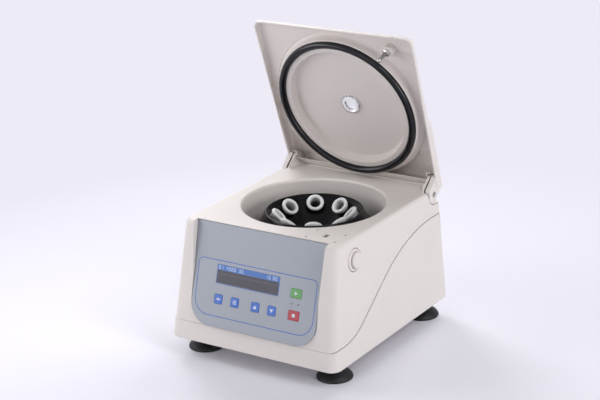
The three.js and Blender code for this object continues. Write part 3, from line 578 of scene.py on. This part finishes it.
# Control panel
# A moulded plate with a printed film on it, set in the sloped recess of the cover. A thin blue line is
# printed round the working area, and the keys, lamps and display show through openings in the film.
LINE_HALF_X, LINE_TOP, LINE_BOTTOM, LINE_WIDTH = 104.0, 132.0, 48.5, 1.35
LINE_RADIUS_TOP, LINE_RADIUS_BOTTOM = 7.0, 24.0
PANEL_GREY, LINE_BLUE = (0.330, 0.355, 0.405), (0.050, 0.130, 0.420)


def panel_places(finish):
    """Signals for the place across and up the panel, in millimetres."""
    parts = finish.node("ShaderNodeSeparateXYZ", None, {"Vector": finish.place})
    across = parts["X"] * 1000.0
    up = (parts["Z"] * 1000.0 - BASE_Z) / math.cos(PANEL_TILT)
    return across, up


def box_distance(across, up, cx, cy, half_x, half_y, radius):
    """Distance from a rounded box, below zero inside it."""
    dx = abs(across - cx) - (half_x - radius)
    dy = abs(up - cy) - (half_y - radius)
    outside = (dx.most(0.0) * dx.most(0.0) + dy.most(0.0) * dy.most(0.0)).root()
    return outside + dx.most(dy).least(0.0) - radius


film = Finish("panel_film", PANEL_GREY, 0.38)
across, up = panel_places(film)
middle, half_up = (LINE_TOP + LINE_BOTTOM) / 2, (LINE_TOP - LINE_BOTTOM) / 2
low_box = box_distance(across, up, 0.0, middle, LINE_HALF_X, half_up, LINE_RADIUS_BOTTOM)
high_box = box_distance(across, up, 0.0, middle, LINE_HALF_X, half_up, LINE_RADIUS_TOP)
upper_half = up > middle
edge_of = high_box * upper_half + low_box * (1.0 - upper_half)
line = abs(edge_of) < LINE_WIDTH / 2
tint = film.mix(film.noise(9.0, 2.0), tuple(c * 0.96 for c in PANEL_GREY), tuple(c * 1.04 for c in PANEL_GREY))
film.drive("Base Color", film.mix(line, tint, LINE_BLUE))
film.drive("Roughness", 0.36 + film.noise(40.0, 2.0) * 0.06)
film.bump(film.noise(3800.0, 1.0), 0.00002, 0.3)

KEYS = {"key_left": (-62.25, 74.65, 14.3, 14.3), "key_menu": (-33.0, 74.65, 14.3, 14.3),
        "key_up": (3.4, 74.65, 14.3, 14.3), "key_down": (32.35, 74.65, 14.3, 14.3),
        "key_start": (70.6, 107.45, 18.8, 13.7), "key_stop": (70.6, 75.0, 18.8, 14.2)}
KEY_CORNER, KEY_GAP = 1.6, 0.3
LAMPS = {"lamp_run": 64.8, "lamp_stop": 76.0}
LAMP_UP, LAMP_HOLE = 91.6, 1.8
WINDOW_LEFT, WINDOW_RIGHT, WINDOW_LOW, WINDOW_TOP, WINDOW_CORNER = -70.3, 40.5, 97.7, 126.5, 1.0


def key_outline(x, s, w, h, grow):
    """A key's outline on the panel: middle across and up, width, height, moved outwards by grow."""
    return rounded_box(x - w / 2 - grow, x + w / 2 + grow, s - h / 2 - grow, s + h / 2 + grow,
                       max(KEY_CORNER + grow, 0.4))


plate = pushed(panel_outline(-0.9, 24, 0), -PANEL_THICK, 0, ON_PANEL)
opening = rounded_box(WINDOW_LEFT - 0.2, WINDOW_RIGHT + 0.2, WINDOW_LOW - 0.2, WINDOW_TOP + 0.2,
                      WINDOW_CORNER + 0.2)
plate = cut(plate, pushed(opening, -1.1, 2, ON_PANEL))
plate = cut(plate, *[pushed(key_outline(*key, KEY_GAP), -5, 2, ON_PANEL) for key in KEYS.values()])
plate = cut(plate, *[rod(LAMP_HOLE, -5, 2, x, LAMP_UP, 24, ON_PANEL) for x in LAMPS.values()])
fitted(plate, "panel_plate", "housing", film.material, "panel", "control_panel")


# Display
# A liquid-crystal module behind a clear window, glued into the panel's opening: a lit blue header over a
# dark field. The header carries plain seven-bar digits.
STRIP_BLUE, FIELD_DARK = (0.085, 0.190, 0.500), (0.058, 0.054, 0.066)
HEADER_LOW, BORDER_WIDTH, DIGIT_LOW, DIGIT_HIGH = 118.0, 0.85, 119.6, 0.18
CELL_WIDTH, CELL_HEIGHT, CELL_LINE = 0.0035, 0.004, 0.00025
screen = Finish("display_glass", FIELD_DARK, 0.3, Specular_IOR_Level=0.22)
across, up = panel_places(screen)
border = box_distance(across, up, (WINDOW_LEFT + WINDOW_RIGHT) / 2, (WINDOW_LOW + WINDOW_TOP) / 2,
                      (WINDOW_RIGHT - WINDOW_LEFT) / 2, (WINDOW_TOP - WINDOW_LOW) / 2,
                      WINDOW_CORNER) > -BORDER_WIDTH
header = (up > HEADER_LOW).most(border)
cells = screen.node("ShaderNodeTexBrick", {"offset": 0.0}, {
    "Vector": screen.place, "Color1": (1, 1, 1, 1), "Color2": (0.9, 0.9, 0.9, 1), "Mortar": (0.8, 0.8, 0.8, 1),
    "Scale": 1.0, "Mortar Size": CELL_LINE, "Brick Width": CELL_WIDTH, "Row Height": CELL_HEIGHT})["Fac"]
field = screen.mix(screen.noise(30.0), FIELD_DARK, tuple(c * 1.5 for c in FIELD_DARK))
lit = screen.mix(header, field, STRIP_BLUE)
screen.drive("Base Color", screen.mix(cells * 0.10, lit, (0.4, 0.45, 0.6)))
screen.drive("Roughness", 0.27 + screen.noise(50.0) * 0.06)
pane = rounded_box(WINDOW_LEFT, WINDOW_RIGHT, WINDOW_LOW, WINDOW_TOP, WINDOW_CORNER)
window = pushed(pane, -0.8, 0.1, ON_PANEL)
fitted(window, "display_pane", "housing", screen.material, "display", "display_window")

digit_white = Finish("digit_white", (0.50, 0.57, 0.74), 0.4)
digit_white.drive("Roughness", 0.36 + digit_white.noise(300.0) * 0.08)
DIGIT_BARS = {"0": "abcdef", "1": "bc", "4": "bcfg", "5": "acdfg", "3": "abcdg"}
BAR_BOXES = {"a": (0, 3.1, 4.6, 5.4), "b": (2.3, 3.1, 2.5, 5.0), "c": (2.3, 3.1, 0.4, 2.9), "d": (0, 3.1, 0, 0.8),
             "e": (0, 0.8, 0.4, 2.9), "f": (0, 0.8, 2.5, 5.0), "g": (0.3, 2.8, 2.3, 3.1)}
DIGIT_PLACES = [-67.6, -63.0, -54.4, -49.8, -45.2, -40.6, -31.8, -27.2, 16.2, 20.8, 28.0, 32.6]
for i, (digit, left) in enumerate(zip("014000301500", DIGIT_PLACES), 1):
    bars = []
    for bar in DIGIT_BARS[digit]:
        x0, x1, s0, s1 = BAR_BOXES[bar]
        bars.append(brick(left + x0, left + x1, DIGIT_LOW + s0, DIGIT_LOW + s1, 0.0, DIGIT_HIGH, ON_PANEL))
    fitted(join(*bars), f"display_digit_{i}", "housing", digit_white.material, "sleeve")


# Keys and lamps
# Six snap-dome keys with printed silicone caps, four blue, one green, one red, each with a plain mark, and
# two small lamps with clear domes. They stand in close openings of the panel.
def key_finish(name, colour):
    finish = Finish(name, colour, 0.42)
    finish.drive("Base Color", finish.mix(finish.noise(160.0, 2.0), tuple(c * 0.88 for c in colour),
                                          tuple(min(1, c * 1.12) for c in colour)))
    finish.bump(finish.noise(3000.0, 1.0), 0.00003, 0.4)
    return finish.material


key_blue = key_finish("key_blue", (0.052, 0.150, 0.520))
key_green = key_finish("key_green", (0.120, 0.330, 0.105))
key_red = key_finish("key_red", (0.420, 0.045, 0.062))
print_white = key_finish("print_white", (0.66, 0.71, 0.82))


def key_cap(x, s, w, h):
    """A cap with softened edges and a faintly crowned face."""
    stack = [(0.0, -1.7), (0.0, 0.15), (0.18, 0.42), (0.5, 0.6), (1.2, 0.68), (3.2, 0.7)]
    return stacked([[(px, py, rise) for px, py in key_outline(x, s, w, h, -inset)] for inset, rise in stack],
                   ON_PANEL)


def key_mark(name, body, outline):
    """A printed mark that rides on its key's cap."""
    fitted(pushed(outline, 0.5, 0.76, ON_PANEL), name, body, print_white, "sleeve")


for name, (x, s, w, h) in KEYS.items():
    paint = key_green if name == "key_start" else key_red if name == "key_stop" else key_blue
    paint_slot = {"key_start": "key_green", "key_stop": "key_red"}.get(name, "key_blue")
    fitted(key_cap(x, s, w, h), f"{name}_cap", name, paint, paint_slot, name)
x, s = KEYS["key_up"][:2]
key_mark("mark_up", "key_up", [(x - 3.0, s - 2.5), (x + 3.0, s - 2.5), (x, s + 3.0)])
x, s = KEYS["key_down"][:2]
key_mark("mark_down", "key_down", [(x - 3.0, s + 2.5), (x, s - 3.0), (x + 3.0, s + 2.5)])
for i in range(3):
    x, s = KEYS["key_menu"][:2]
    key_mark(f"mark_menu_{i + 1}", "key_menu", [(x - 3, s - 2.6 + 2.2 * i), (x + 3, s - 2.6 + 2.2 * i),
                                                (x + 3, s - 1.6 + 2.2 * i), (x - 3, s - 1.6 + 2.2 * i)])
x, s = KEYS["key_left"][:2]
key_mark("mark_left_a", "key_left", [(x - 4, s), (x - 0.6, s - 2), (x - 0.6, s + 2)])
key_mark("mark_left_b", "key_left", [(x + 0.4, s - 2), (x + 3.8, s), (x + 0.4, s + 2)])
x, s = KEYS["key_start"][:2]
key_mark("mark_start", "key_start", [(x - 2.2, s - 2.8), (x + 3.2, s), (x - 2.2, s + 2.8)])
x, s = KEYS["key_stop"][:2]
key_mark("mark_stop", "key_stop", [(x - 2.4, s - 2.4), (x + 2.4, s - 2.4), (x + 2.4, s + 2.4), (x - 2.4, s + 2.4)])
lens_clear = Finish("lamp_lens", (0.30, 0.32, 0.34), 0.15, Coat_Weight=0.5)
lens_clear.drive("Roughness", 0.12 + lens_clear.noise(400.0) * 0.1)
for name, x in LAMPS.items():
    dome = turned([(0, -2), (1.5, -2), (1.5, 0.05), (1.3, 0.32), (0.9, 0.5), (0.4, 0.58), (0, 0.6)], 32,
                  ON_PANEL @ Matrix.Translation((x, LAMP_UP, 0)))
    fitted(dome, f"{name}_lens", "housing", lens_clear.material, "clear", name)


# Release button
# A round cap that stands in a raised collar on the right wall, in the housing's plastic. The collar snaps
# into a hole of the cover with a narrow groove round it. Pressing the cap draws the catch off the striker.
collar = turned([(12.7, -6), (12.7, 1.3), (12.9, 1.75), (13.4, 1.95), (14.6, 1.7), (15.8, 1.15), (16.5, 0.5),
                 (16.8, 0.0), (16.85, -0.6), (16.85, -6)], 96, TO_BUTTON)
fitted(collar, "button_collar", "housing", shell_plastic, "shell", "button_bezel", crease=40)
cap = turned([(0, -8), (11.8, -8), (11.8, 4.1), (11.65, 4.8), (11.2, 5.4), (10.5, 5.85), (9.6, 6.08), (6, 6.22),
              (0, 6.3)], 96, TO_BUTTON)
fitted(cap, "button_cap", "button", shell_plastic, "shell", "release_button", crease=40)


# Rotor
# A turned aluminium body, black anodised and polished: a 45 degree dish with eight holes inside and a
# flared skirt outside. It is held on the motor shaft by a hexagon nut.
SLEEVES, SLEEVE_PITCH, SLEEVE_MOUTH_Z, SLEEVE_HOLE = 8, 52.0, 190.7, 10.9
SLEEVE_PHASE = math.radians(31)
anodised = Finish("rotor_anodised", (0.0028, 0.0028, 0.0033), 0.2, Coat_Weight=0.05, Coat_Roughness=0.08,
                  Specular_IOR_Level=0.10)
turning = anodised.node("ShaderNodeTexWave", {"wave_type": "RINGS", "rings_direction": "Z"}, {
    "Vector": anodised.place, "Scale": 420.0, "Distortion": 0.2})["Fac"]
anodised.drive("Roughness", 0.17 + turning * 0.06 + anodised.noise(25.0) * 0.08)
anodised.bump(turning, 0.000006, 0.5)


def sleeve_matrix(i):
    """The place of sleeve i: mouth on the pitch circle, foot leaning outwards."""
    lean = Matrix.Translation((SLEEVE_PITCH, 0, SLEEVE_MOUTH_Z)) @ Matrix.Rotation(-math.pi / 4, 4, "Y")
    return Matrix.Rotation(SLEEVE_PHASE + i * 2 * math.pi / SLEEVES, 4, "Z") @ lean


ROTOR_PROFILE = [(6.3, 152), (17, 152), (18, 150.4), (25.9, 150.4), (70.6, 195.1), (71.3, 196.1), (72.3, 196.9),
                 (73.4, 197.2), (74.6, 197.0), (75.4, 196.2), (77.4, 192), (79.9, 187), (82.5, 182.5), (86, 177.6),
                 (90, 173), (103.3, 159.7), (104.3, 158), (104.5, 156.5), (104.5, 148), (104, 144.6), (102.6, 142),
                 (100.6, 140.3), (98, 139.6), (101, 147), (101, 157), (86.5, 171.5), (74.2, 189.4), (70, 188.9),
                 (33, 151.9), (20, 145), (20, 134), (6.3, 134)]
rotor = turned(ROTOR_PROFILE, 128)
rotor = cut(rotor, *[rod(SLEEVE_HOLE, -14.2, 2, segments=40, matrix=sleeve_matrix(i)) for i in range(SLEEVES)])
fitted(rotor, "rotor_dish", "rotor", anodised.material, "rotor", "rotor_body", crease=28)


# Tube sleeves
# Eight white polypropylene cups that line the rotor's holes and carry the tubes by their flanges. Below the flange
# their colour is painted darker with depth, as painted shade inside the bore.
SLEEVE_PALE, SLEEVE_PAINTED_SHADE = (0.80, 0.80, 0.805), (0.17, 0.165, 0.165)
DARK_FROM, DARK_OVER = 2.0, 16.0
sleeve_plastic = Finish("sleeve_plastic", SLEEVE_PALE, 0.34)
spot = sleeve_plastic.node("ShaderNodeSeparateXYZ", None, {"Vector": sleeve_plastic.place})
# Painted shade: the sleeve colour turns darker with depth below the flange, standing in for the shade inside the
# bore.
back = spot["Y"] - AXIS_Y / 1000
reach = (spot["X"] * spot["X"] + back * back).root() * 1000.0 - SLEEVE_PITCH
depth = (reach - (spot["Z"] * 1000.0 - SLEEVE_MOUTH_Z)) * math.sqrt(0.5)
painted_shade_share = ((depth - DARK_FROM) / DARK_OVER).most(0.0).least(1.0)
sleeve_plastic.drive("Base Color", sleeve_plastic.mix(painted_shade_share, SLEEVE_PALE, SLEEVE_PAINTED_SHADE))
sleeve_plastic.drive("Roughness", 0.30 + sleeve_plastic.noise(90.0, 3.0) * 0.12)
sleeve_plastic.bump(sleeve_plastic.noise(1500.0), 0.00003, 0.4)
SLEEVE_PROFILE = [(0, -56), (4.5, -56), (7.2, -54.9), (8.8, -53.2), (9.4, -51), (10.5, -8), (11.3, -6.6),
                  (12.6, -5.3), (13.2, -4.7), (13.5, -3.8), (13.5, -2.2), (13.25, -1.25), (12.7, -0.55),
                  (11.9, -0.12), (11.0, 0), (10.1, -0.12), (9.2, -0.6), (8.6, -1.4), (8.3, -2.5), (7.9, -50),
                  (6.4, -52.8), (3.6, -54), (0, -54.2)]
for i in range(SLEEVES):
    fitted(turned(SLEEVE_PROFILE, 56, sleeve_matrix(i)), f"sleeve_cup_{i + 1}", "rotor", sleeve_plastic.material,
           "sleeve", f"tube_sleeve_{i + 1}", crease=40)


# Lid shell
# The outer moulding of the lid, with a low round plateau, a hump over the hinge and two ears that hang
# beside the deck towers and turn on the hinge pins. It stands open.
LID_OPEN = math.radians(71.63)
RIM_Z, LID_FRONT, LID_REAR = 214.5, -140.5, 138.0
LID_HALF_FRONT, LID_HALF_REAR, LID_WALL, PORT_HOLE = 139.8, 135.8, 2.5, 13.5
RIM_NOTCH = (105.5, 111.5, -150, -136.5, RIM_Z - 1, RIM_Z + 1.6)
EAR_INNER, EAR_OUTER = 127.9, 135.6
PIN_RADIUS, PIN_GAP, HEAD_SEAT, HEAD_DEPTH = 3.5, 0.06, 4.9, 5.0
BEAD_ROOM, TOWER_ROOM = 19.3, 30.1
HINGE = Vector((0, HINGE_Y, HINGE_Z))
SWING = Matrix.Rotation(-LID_OPEN, 4, "X")


def turn_open(piece):
    """Turns a closed lid piece about the hinge, in its own mesh."""
    pivot = metres(HINGE)
    piece.data.transform(Matrix.Translation(pivot) @ SWING @ Matrix.Translation(-pivot))
    return piece


def lid_section(height, inset, rear=LID_REAR, front=LID_FRONT):
    """The lid's outline, closed, at a height above its rim."""
    def half(y):
        return LID_HALF_FRONT + (LID_HALF_REAR - LID_HALF_FRONT) * (y - LID_FRONT) / (LID_REAR - LID_FRONT)
    return ring(RIM_Z + height, front + inset, rear - inset, half(front) - inset, half(rear) - inset,
                max(13 - inset, 4), max(6 - inset, 3))


SKIN = [(0, 4.8), (0.4, 6.0), (1.4, 7.6), (3.2, 9.3), (6, 10.8), (10, 12.1), (15, 12.9)]
SKIN_INSIDE = [(1.9, 5.2), (1.9, 6.6), (2.6, 7.9), (4.1, 9.1), (6.5, 10.1), (10, 11.1), (15, 11.8)]


def lid_block(offset, corners):
    """The lid as a solid block, shrunk by an offset; corners lists insets and heights of its low part."""
    side, foot = corners[0][0], -2 if offset > 0 else 0
    plateau = [(i + side, h - offset) for i, h in ((0, 13.4), (0.4, 14.8), (1.6, 16.2), (4, 17.5), (8, 18.3))]
    hump = [(i + side, h - offset) for i, h in ((0, 16), (2, 19.6), (5, 22.6), (9.5, 25.2), (15, 26.6))]
    whole = stacked([lid_section(foot, side)] + [lid_section(h, i) for i, h in corners])
    behind = stacked([lid_section(foot, side, LID_REAR, 6)] +
                     [lid_section(h, i, LID_REAR, 6) for i, h in plateau])
    back = stacked([lid_section(foot + 4, side + 4, LID_REAR + 4, 58)] +
                   [lid_section(h, i + 4, LID_REAR + 4, 58 + 2.2 * (i - side)) for i, h in hump])
    disc = turned([(0, RIM_Z + foot), (134 - offset, RIM_Z + foot)] +
                  [(134 - offset - i + side, RIM_Z + h) for i, h in plateau] + [(0, RIM_Z + plateau[-1][1])], 144)
    return join(whole, behind, back, disc)


def hinge_room(gap):
    """The room in the lid that clears the deck's rear bead and the towers as the lid turns."""
    room = cross_rod(BEAD_ROOM + gap, -127, 127, HINGE_Y, HINGE_Z)
    for sign in (-1, 1):
        x0, x1 = mirrored(sign, TOWER_INNER - 0.2 - gap, EAR_INNER - 1.1 + gap)
        room = join(room, cross_rod(TOWER_ROOM + gap, x0, x1, HINGE_Y, HINGE_Z))
    return room


def ear(sign):
    """An ear of the closed lid, with the pin's bore and the seat round its head."""
    x0, x1 = mirrored(sign, EAR_INNER, EAR_OUTER)
    outline = [(107.6, RIM_Z + 3), (109.2, RIM_Z), (114.6, 202.6), (116.6, 196.4), (118.6, 192.6)]
    outline += arc(HINGE_Y, HINGE_Z, LUG_RADIUS, 232, 352, 24)
    outline += [(139.2, 208.6), (LID_REAR, 212), (LID_REAR, RIM_Z + 3)]
    bore = cross_rod(PIN_RADIUS + PIN_GAP, x0 - 1, x1 + 1, HINGE_Y, HINGE_Z)
    seat = cross_rod(HEAD_SEAT, *mirrored(sign, EAR_OUTER - HEAD_DEPTH, EAR_OUTER + 5), HINGE_Y, HINGE_Z)
    return cut(slabbed(outline, x0, x1), bore, seat)


lid = cut(lid_block(0, SKIN), lid_block(LID_WALL, SKIN_INSIDE), hinge_room(1), rod(PORT_HOLE, 200, 260))
lid = join(cut(lid, brick(*RIM_NOTCH)), ear(1), ear(-1))
fitted(turn_open(lid), "lid_cover", "lid", shell_plastic, "shell", "lid_shell")


# Lid liner
# The inner moulding: a skin under the shell with a ring-shaped ridge that carries the gasket, and a
# sunk round field inside it with the view port at its middle.
CROWN, LID_GAP, STRIKER_Y = RIM_Z - 1, 0.3, -113.5
LINER_OUTSIDE = [(i + 0.15, h - 0.15) for i, h in SKIN_INSIDE]
LINER_INSIDE = [(3.2, 5.2), (3.2, 6.9), (3.5, 7.7), (4.3, 8.3), (6.4, 9.2), (10, 10.1), (16, 10.5)]
liner_plastic = moulded("liner_plastic", (0.697, 0.642, 0.616), 1500.0, 0.00005, 0.5)
liner = cut(lid_block(LID_WALL + LID_GAP, LINER_OUTSIDE), lid_block(LID_WALL + 2.0, LINER_INSIDE),
            brick(-200, 200, -200, 200, RIM_Z - 5, RIM_Z + 1.2))
ridge = [(13.7, 226), (16.2, 226), (17, 226.2), (17.6, 227), (95.4, 227), (96.8, 226.7), (97.7, 225.8),
         (99.9, 219.8), (100.4, CROWN + 1), (100.8, CROWN + 0.3), (101.5, CROWN), (108.6, CROWN),
         (108.6, CROWN + 4), (120.1, CROWN + 4), (120.1, CROWN), (121.0, CROWN + 0.1), (121.5, CROWN + 0.5),
         (122.6, CROWN + 4.5), (123.3, 221.2), (124.6, 223.6), (126.3, 225.2), (128.5, 226.2), (127.5, 228.52),
         (124.4, 226.6), (121.4, CROWN + 6), (102.6, CROWN + 6), (101.4, 221), (98, 228.8), (13.7, 228.8)]
BOSS_TOP = 213.4
boss = turned([(0, BOSS_TOP), (7.2, BOSS_TOP), (8.3, BOSS_TOP + 0.3), (9.0, BOSS_TOP + 1.0), (9.3, BOSS_TOP + 2.0),
               (9.8, RIM_Z + 11), (0, RIM_Z + 11)], 64, Matrix.Translation((LATCH_X, STRIKER_Y, 0)))
liner = join(cut(liner, rod(127, 200, 240, segments=144)), turned(ridge, 144), boss)
lining = common(hinge_room(2.4), lid_block(LID_WALL + LID_GAP, LINER_OUTSIDE),
                brick(-126.6, 126.6, 60, 200, RIM_Z + 1.2, 260))
EAR_ROOM, EAR_ROOM_FRONT, STRIKER_HOLE = 126.9, 107.5, 3.3
liner = cut(join(liner, lining), hinge_room(1), brick(-150, -EAR_ROOM, EAR_ROOM_FRONT, 160, 200, RIM_Z + 3.4),
            brick(EAR_ROOM, 150, EAR_ROOM_FRONT, 160, 200, RIM_Z + 3.4),
            rod(STRIKER_HOLE, 200, 240, LATCH_X, STRIKER_Y, 32))
fitted(turn_open(liner), "lid_lining", "lid", liner_plastic, "shell", "lid_liner")


# Gasket
# An extruded rubber cord pressed into the groove of the ridge, with a butt joint at the rear. It is modelled
# standing proud of the lid, as it is while the lid is open, and not pressed flat as it is by the deck when the lid
# closes.
seal = Finish("gasket_rubber", (0.004, 0.004, 0.0062), 0.22, Specular_IOR_Level=0.30)
seal.drive("Roughness", 0.20 + seal.noise(60.0, 1.0) * 0.04)
seal.bump(seal.noise(1400.0, 1.0), 0.00002, 0.3)
SEAL_MIDDLE, SEAL_RADIUS, SEAL_PROUD, SEAL_CLOSED, JOINT_WIDTH = 114.35, 5.35, 6.8, 4.0, 0.6
cord_z = CROWN - SEAL_PROUD + SEAL_RADIUS
seal_profile = [(SEAL_MIDDLE - SEAL_RADIUS * math.cos(a), cord_z - SEAL_RADIUS * math.sin(a))
                for a in (math.radians(12 * k) for k in range(16))]
seal_profile += [(119.7, CROWN + 3.7), (109, CROWN + 3.7)]
gasket = turned(seal_profile, 160)
joint = brick(-3 - JOINT_WIDTH / 2, -3 + JOINT_WIDTH / 2, 105, 124, CROWN - SEAL_PROUD - 1, CROWN - 0.2)
gasket = cut(gasket, joint)
fitted(turn_open(gasket), "gasket_ring", "lid", seal.material, "rubber", "lid_gasket", crease=50)
OPENED = Matrix.Translation(HINGE) @ SWING @ Matrix.Translation(-HINGE)
metres(OPENED @ Vector((0, 0, CROWN)))
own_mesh(gasket)


# View port
# A clear acrylic plug through liner and shell, for watching the rotor come to rest. It is turned, with a
# rounded collar inside the lid, and pressed in from there.
acrylic = Finish("port_acrylic", (0.97, 0.97, 0.975), 0.06, Transmission_Weight=0.88, IOR=1.49)
acrylic.drive("Roughness", 0.05 + acrylic.noise(60.0) * 0.05)
port = turned([(0, 226.6), (5.6, 226.4), (7.0, 225.8), (7.8, 224.6), (8.6, 223.5), (9.8, 223.1), (11.8, 223.2),
               (14.4, 223.5), (16.1, 224.0), (17.0, 224.8), (17.1, 225.7), (13.2, 225.7), (13.2, 232.2),
               (12.9, 232.9), (12, 233.2), (0, 233.4)], 72)
fitted(turn_open(port), "port_plug", "lid", acrylic.material, "clear", "lid_window", crease=40)


# Latch striker
# A chromed steel pin on a small collar, screwed into the boss at the lid's right front corner. Its head
# drops through the slot in the deck, and the catch closes round the neck above the head.
chrome = Finish("chrome", (0.42, 0.41, 0.40), 0.12, Metallic=1.0)
chrome.drive("Roughness", 0.09 + chrome.noise(70.0, 3.0) * 0.08)
striker = turned([(0, BOSS_TOP + 9), (3, BOSS_TOP + 9), (3, BOSS_TOP - 0.3), (5.8, BOSS_TOP - 0.3),
                  (6, BOSS_TOP - 0.6), (6, BOSS_TOP - 1.6), (5.7, BOSS_TOP - 2), (4.4, BOSS_TOP - 2.8),
                  (3.2, BOSS_TOP - 3.4), (3.0, BOSS_TOP - 4.6), (3.0, 200.2), (2.3, 199.2), (2.2, 193.0),
                  (2.5, 192.5), (3.3, 192.0), (3.5, 191.5), (3.5, 190.2), (3.2, 189.3), (2.2, 188.1),
                  (1.2, 187.7), (0, 187.6)],
                 48, Matrix.Translation((LATCH_X, STRIKER_Y, 0)))
fitted(turn_open(striker), "striker_pin", "lid", chrome.material, "chrome", "latch_striker", crease=40)


# Hinge pins
# Steel pins with a slotted head, pressed through the lid's ears into the deck towers from outside. A thin
# near-black sheet on each tower's face fills most of the gap to the ear, as painted shade in the slit.
steel = Finish("plain_steel", (0.46, 0.47, 0.48), 0.35, Metallic=1.0)
steel.drive("Roughness", 0.28 + steel.noise(180.0, 3.0) * 0.14)
for side, sign in (("left", -1), ("right", 1)):
    aim = Matrix.Translation((0, HINGE_Y, HINGE_Z)) @ Matrix.Rotation(sign * math.pi / 2, 4, "Y")
    pin = turned([(0, 115.8), (PIN_RADIUS, 115.8), (PIN_RADIUS, 131.6), (3.3, 132.6), (2.8, 133.3), (2.0, 133.8),
                  (1.0, 134.1), (0, 134.2)], 48, aim)
    pin = cut(pin, brick(-4, 4, -0.45, 0.45, 132.7, 137, aim))
    fitted(pin, f"hinge_bolt_{side}", "housing", steel.material, "steel", f"hinge_pin_{side}")

# Painted shade: a near-black sheet standing in for the shade in the slit between each tower and ear.
slit_shade_sheet = Finish("slit_shade_sheet", (0.016, 0.012, 0.010), 0.6, Specular_IOR_Level=0.2)
slit_shade_sheet.drive("Roughness", 0.55 + slit_shade_sheet.noise(200.0) * 0.1)
SHADE_SHEET_MIDDLE, SHADE_SHEET_SCALE, SHADE_SHEET_THICK, SHADE_SHEET_REAR = Vector((137, 214)), 0.985, 2.0, 134
for side, sign in (("left", -1), ("right", 1)):
    outline = [tuple(SHADE_SHEET_MIDDLE + (Vector(p) - SHADE_SHEET_MIDDLE) * SHADE_SHEET_SCALE) for p in TOWER_SIDE]
    shade_sheet = common(slabbed(outline, *mirrored(sign, TOWER_FACE - 0.2, TOWER_FACE + SHADE_SHEET_THICK)),
                  brick(-200, 200, 60, SHADE_SHEET_REAR, 150, 240))
    fitted(shade_sheet, f"hinge_slit_shade_{side}", "housing", slit_shade_sheet.material, "black_plastic")


# Metal parts and inner works
# The pieces that keep the solids' own form, each in its material: screws, shaft, ring, shelf, motor, base
# plate and catch in steel, a plated nut, rubber dampers, glass fibre boards, and moulded bowl and switch.
BOARD_GREEN, COPPER_GREEN = (0.02, 0.12, 0.045), (0.05, 0.20, 0.08)
board = Finish("board_green", BOARD_GREEN, 0.4)
board.drive("Base Color", board.mix(board.noise(240.0) > 0.54, BOARD_GREEN, COPPER_GREEN))
black_plastic = moulded("black_plastic", (0.016, 0.016, 0.018), 2200.0, 0.00003, 0.45)
bowl_plastic = moulded("bowl_plastic", (0.50, 0.47, 0.455), 1800.0, 0.00004, 0.4)
PLAIN = {"steel": steel.material, "chrome": chrome.material, "board": board.material, "rubber": rubber.material,
         "black_plastic": black_plastic, "shell": bowl_plastic}
for row in frame["record"]["subparts"]:
    node = frame["nodes"][row["node"]]
    if not node.hide_render:
        node.data.materials.clear()
        node.data.materials.append(PLAIN[row["material_slot"]])
